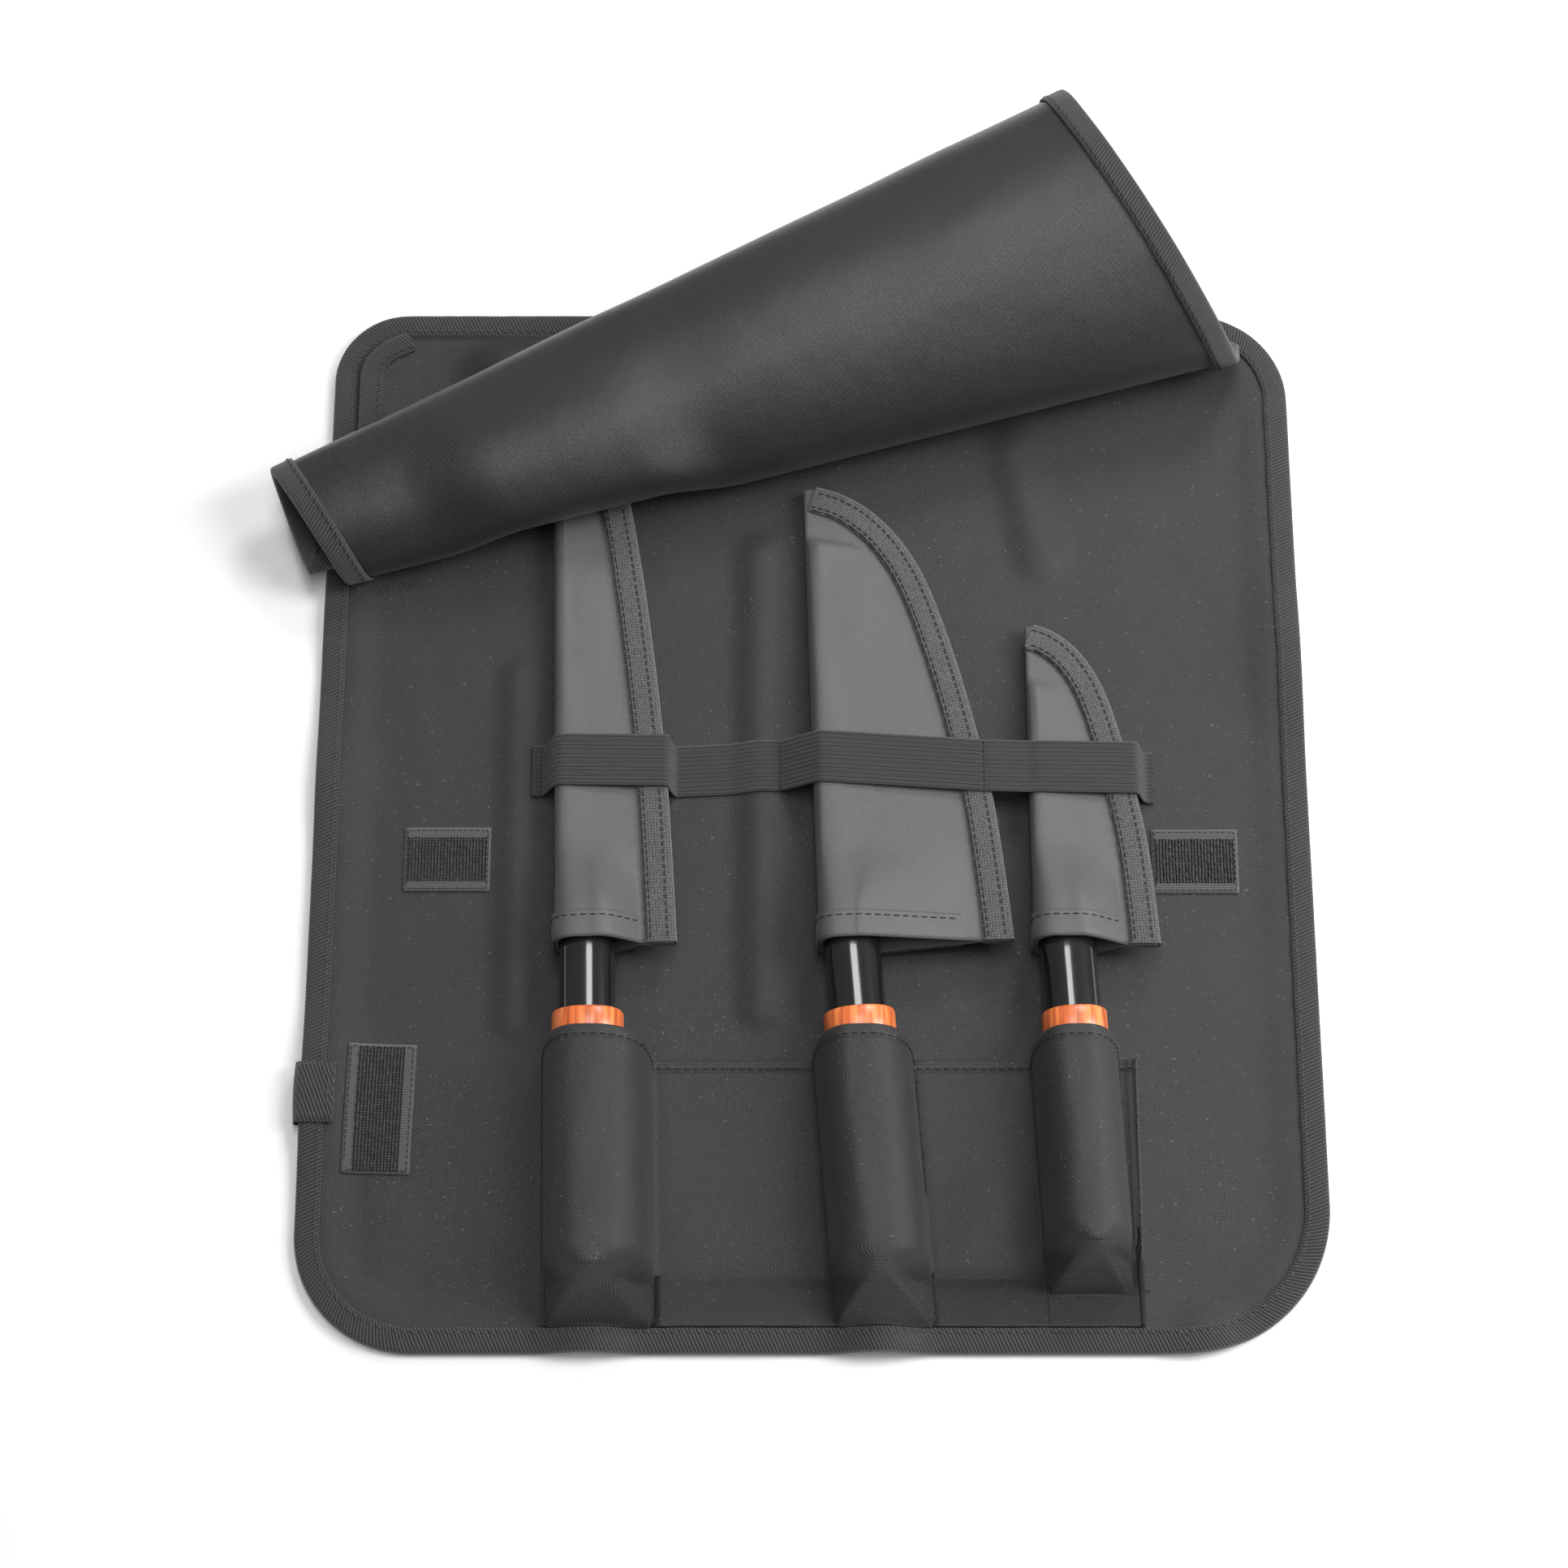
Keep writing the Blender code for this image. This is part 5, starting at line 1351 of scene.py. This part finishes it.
def patches():
    pieces = []
    for name, x0, y0, turn, width, depth, side, end in PATCHES:
        c = math.cos(math.radians(turn))
        s = math.sin(math.radians(turn))

        def at(i, j, lift, width=width, depth=depth):
            x = x0 + c * i * width - s * j * depth
            y = y0 + s * i * width + c * j * depth
            return Vector((x, y, panel_top(x, y) + GAP + lift))

        steps = 24
        shares = [k / steps - 0.5 for k in range(steps + 1)]
        rows = []
        for j in shares:
            row = []
            for i in shares:
                edge = min(0.5 - abs(i), 0.5 - abs(j))
                row.append(at(i * (1 + 0.006 * math.sin(j * 40)), j, 0.0008 * (0.55 + 0.45 * smooth(edge * 30))))
            rows.append(row)
        tape = surface(name + "_web", rows, lambda r, q: (shares[r] * depth, shares[q] * width), "hook_tape",
                       (name + "_tape",), thick=-0.0007)
        pieces.append(tape)
        points = []
        faces = []
        pitch = 0.00115
        nx = int((width - 2 * side) / pitch)
        ny = int((depth - 2 * end) / (pitch * 0.8))
        for a in range(nx):
            for b in range(ny):
                i = ((a + 0.5) / nx - 0.5) * (width - 2 * side) / width
                j = ((b + 0.5) / ny - 0.5) * (depth - 2 * end) / depth
                lean = Vector((random.uniform(-1, 1), random.uniform(-1, 1), 0.0)) * 0.00025
                foot = at(i, j, 0.0007)
                tall = random.uniform(0.0009, 0.0015)
                base = len(points)
                for level, size in ((0.0, 0.00042), (0.55, 0.00034), (1.0, 0.00016)):
                    middle = foot + Vector((0, 0, tall * level)) + lean * level
                    for q in range(5):
                        angle = 2 * math.pi * q / 5 + a
                        points.append(tuple(middle + Vector((math.cos(angle) * size * 0.8, math.sin(angle) * size * 1.3, 0))))
                for level in range(2):
                    for q in range(5):
                        w = (q + 1) % 5
                        o = base + level * 5
                        faces.append((o + q, o + w, o + 5 + w, o + 5 + q))
                faces.append(tuple(base + 10 + q for q in range(5)))
        mesh = bpy.data.meshes.new(name + "_hooks")
        mesh.from_pydata(points, [], faces)
        mesh.update()
        pieces.append(finish_piece(name + "_hooks", mesh, "hook", (name + "_pile",)))
        seam = []
        inset_i = 0.5 - 0.0011 / width
        inset_j = 0.5 - 0.0011 / depth
        corners = [(-inset_i, -inset_j), (inset_i, -inset_j), (inset_i, inset_j), (-inset_i, inset_j), (-inset_i, -inset_j)]
        for (i1, j1), (i2, j2) in zip(corners, corners[1:]):
            seam += [(at(mix(i1, i2, k / 20), mix(j1, j2, k / 20), 0.0009), Vector((0, 0, 1))) for k in range(20)]
        pieces.append(stitches(name + "_stitches", [seam], "dark_thread", 0.0016, 0.0006, 0.00018))
    return pieces


def side_tab():
    """Short ribbon folded round the left edge."""
    edge = -PANEL_WIDTH / 2
    inner = CLOTH / 2 + EASE + TAPE + 3 * GAP
    reach = 0.0118
    nose = TAPE + 2 * GAP + TAPE * 1.6
    profile = [(reach, inner + TAPE * 0.2), (reach - 0.0002, inner + TAPE * 0.9)]
    profile += [(mix(reach - 0.001, 0.0, k / 6), inner + TAPE) for k in range(7)]
    for k in range(1, 10):
        angle = math.pi * k / 10
        profile.append((-nose * math.sin(angle), (inner + TAPE * 0.9) * math.cos(angle)))
    profile += [(mix(0.0, reach * 0.8, k / 3), -inner - TAPE * 0.85) for k in range(4)]
    rows = []
    steps = 40
    for k in range(steps + 1):
        share = k / steps
        y = -0.1095 + (share - 0.5) * 0.0225
        thin = 1.0 - 0.25 * smooth(abs(share - 0.5) * 12 - 5)
        row = []
        for inward, height in profile:
            x = edge + inward * (1.0 if inward > 0 else 1.0 + 0.12 * math.sin(math.pi * share))
            level = base_height(max(x, edge), y) + CLOTH / 2 + height * thin
            row.append(Vector((x, y, max(level, 0.0002))))
        rows.append(row)
    run = [0.0]
    for (a, b), (p, q) in zip(profile, profile[1:]):
        run.append(run[-1] + math.hypot(p - a, q - b))
    piece = surface("tab_ribbon", rows, lambda r, c: (run[c], 0.0005 * r), "binding", ("side_tab",))
    x = edge + reach - 0.0025
    seam = []
    for k in range(21):
        y = -0.1095 + (k / 20 - 0.5) * 0.021
        seam.append((Vector((x, y, base_height(x, y) + CLOTH / 2 + inner + TAPE + 0.0001)), Vector((0, 0, 1))))
    thread = stitches("tab_stitches", [seam], "grey_thread", 0.0020, 0.0007, 0.00022)
    return piece, thread


def loose_threads():
    """Light thread loops by the flap's hinge, and a few cut tails."""
    up = Vector((0, 0, 1))
    run = []
    for k in range(25):
        x = mix(-0.167, -0.146, k / 24)
        y = mix(0.0868, 0.0905, k / 24)
        run.append((Vector((x, y, panel_top(x, y) + 0.0003)), up))
    loops = stitches("hinge_loops", [run], "grey_thread", 0.0013, 0.0010, 0.00026, 3.4)
    tails = []
    for x, y, turn, length in ((-0.0105, 0.0052, -72, 0.007), (-0.0530, 0.0262, 100, 0.005), (0.0650, 0.0010, -80, 0.004)):
        tail = []
        for k in range(13):
            share = k / 12
            angle = math.radians(turn + 40 * math.sin(share * 3.0))
            px = x + math.cos(angle) * length * share
            py = y + math.sin(angle) * length * share
            tail.append((Vector((px, py, panel_top(px, py) + 0.0003 + 0.0006 * math.sin(share * math.pi))), up))
        tails.append(tail)
    ends = stitches("thread_tails", tails, "grey_thread", 0.0012, -0.0003, 0.00016)
    return loops, ends


# ---------------------------------------------------------------- stage

def stage():
    mesh = bpy.data.meshes.new("floor")
    size = 6.0
    mesh.from_pydata([(-size, -size, -0.0002), (size, -size, -0.0002), (size, size, -0.0002), (-size, size, -0.0002)], [],
                     [(0, 1, 2, 3)])
    mesh.update()
    nodes = Nodes("floor_paper", 0.9)
    nodes.shader.inputs["Base Color"].default_value = (0.90, 0.90, 0.90, 1.0)
    mesh.materials.append(nodes.material)
    floor = bpy.data.objects.new("floor", mesh)
    bpy.context.scene.collection.objects.link(floor)


def area_light(name, place, target, size, power, colour=(1.0, 1.0, 1.0)):
    light = bpy.data.lights.new(name, "AREA")
    light.shape = "RECTANGLE"
    light.size, light.size_y = size
    light.energy = power
    light.color = colour
    thing = bpy.data.objects.new(name, light)
    thing.location = place
    thing.rotation_euler = (Vector(target) - Vector(place)).to_track_quat("-Z", "Y").to_euler()
    bpy.context.scene.collection.objects.link(thing)


def light_and_camera():
    area_light("overhead", (0.0, 0.06, 1.6), (0.0, 0.05, 0.0), (0.34, 1.25), 13.0)
    area_light("key_right", (0.95, 0.10, 1.0), (0.0, 0.0, 0.0), (0.45, 0.7), 14.0)
    area_light("key_back", (0.40, 0.95, 0.95), (0.0, 0.05, 0.0), (0.4, 0.4), 7.0)
    area_light("side_right", (1.15, -0.15, 0.35), (0.0, -0.05, 0.0), (0.4, 0.8), 4.0)
    world = bpy.data.worlds.new("studio")
    bpy.context.scene.world = world
    world.use_nodes = True
    world.node_tree.nodes["Background"].inputs[0].default_value = (1.0, 1.0, 1.0, 1.0)
    world.node_tree.nodes["Background"].inputs[1].default_value = 0.20
    bpy.context.scene.view_settings.view_transform = "Standard"
    camera = bpy.data.cameras.new("camera")
    camera.sensor_width = 36.0
    camera.lens = 36.0 * 4062.0 / 1932.0
    camera.clip_start = 0.01
    holder = bpy.data.objects.new("camera", camera)
    holder.location = (-0.01025, -0.3913, 1.1659)
    holder.rotation_euler = (math.radians(19.0), 0.0, 0.0)
    bpy.context.scene.collection.objects.link(holder)
    bpy.context.scene.camera = holder


def main():
    knives = [Knife(row) for row in KNIVES]
    curl = Curl()
    base_panel()
    edge_binding()
    flat, rolled = top_flap(curl)
    flap_binding(curl, flat, rolled)
    for knife in knives:
        knife_set(knife)
    elastic_band(knives)
    pocket_strip(knives)
    patches()
    side_tab()
    loose_threads()
    stage()
    light_and_camera()


main()
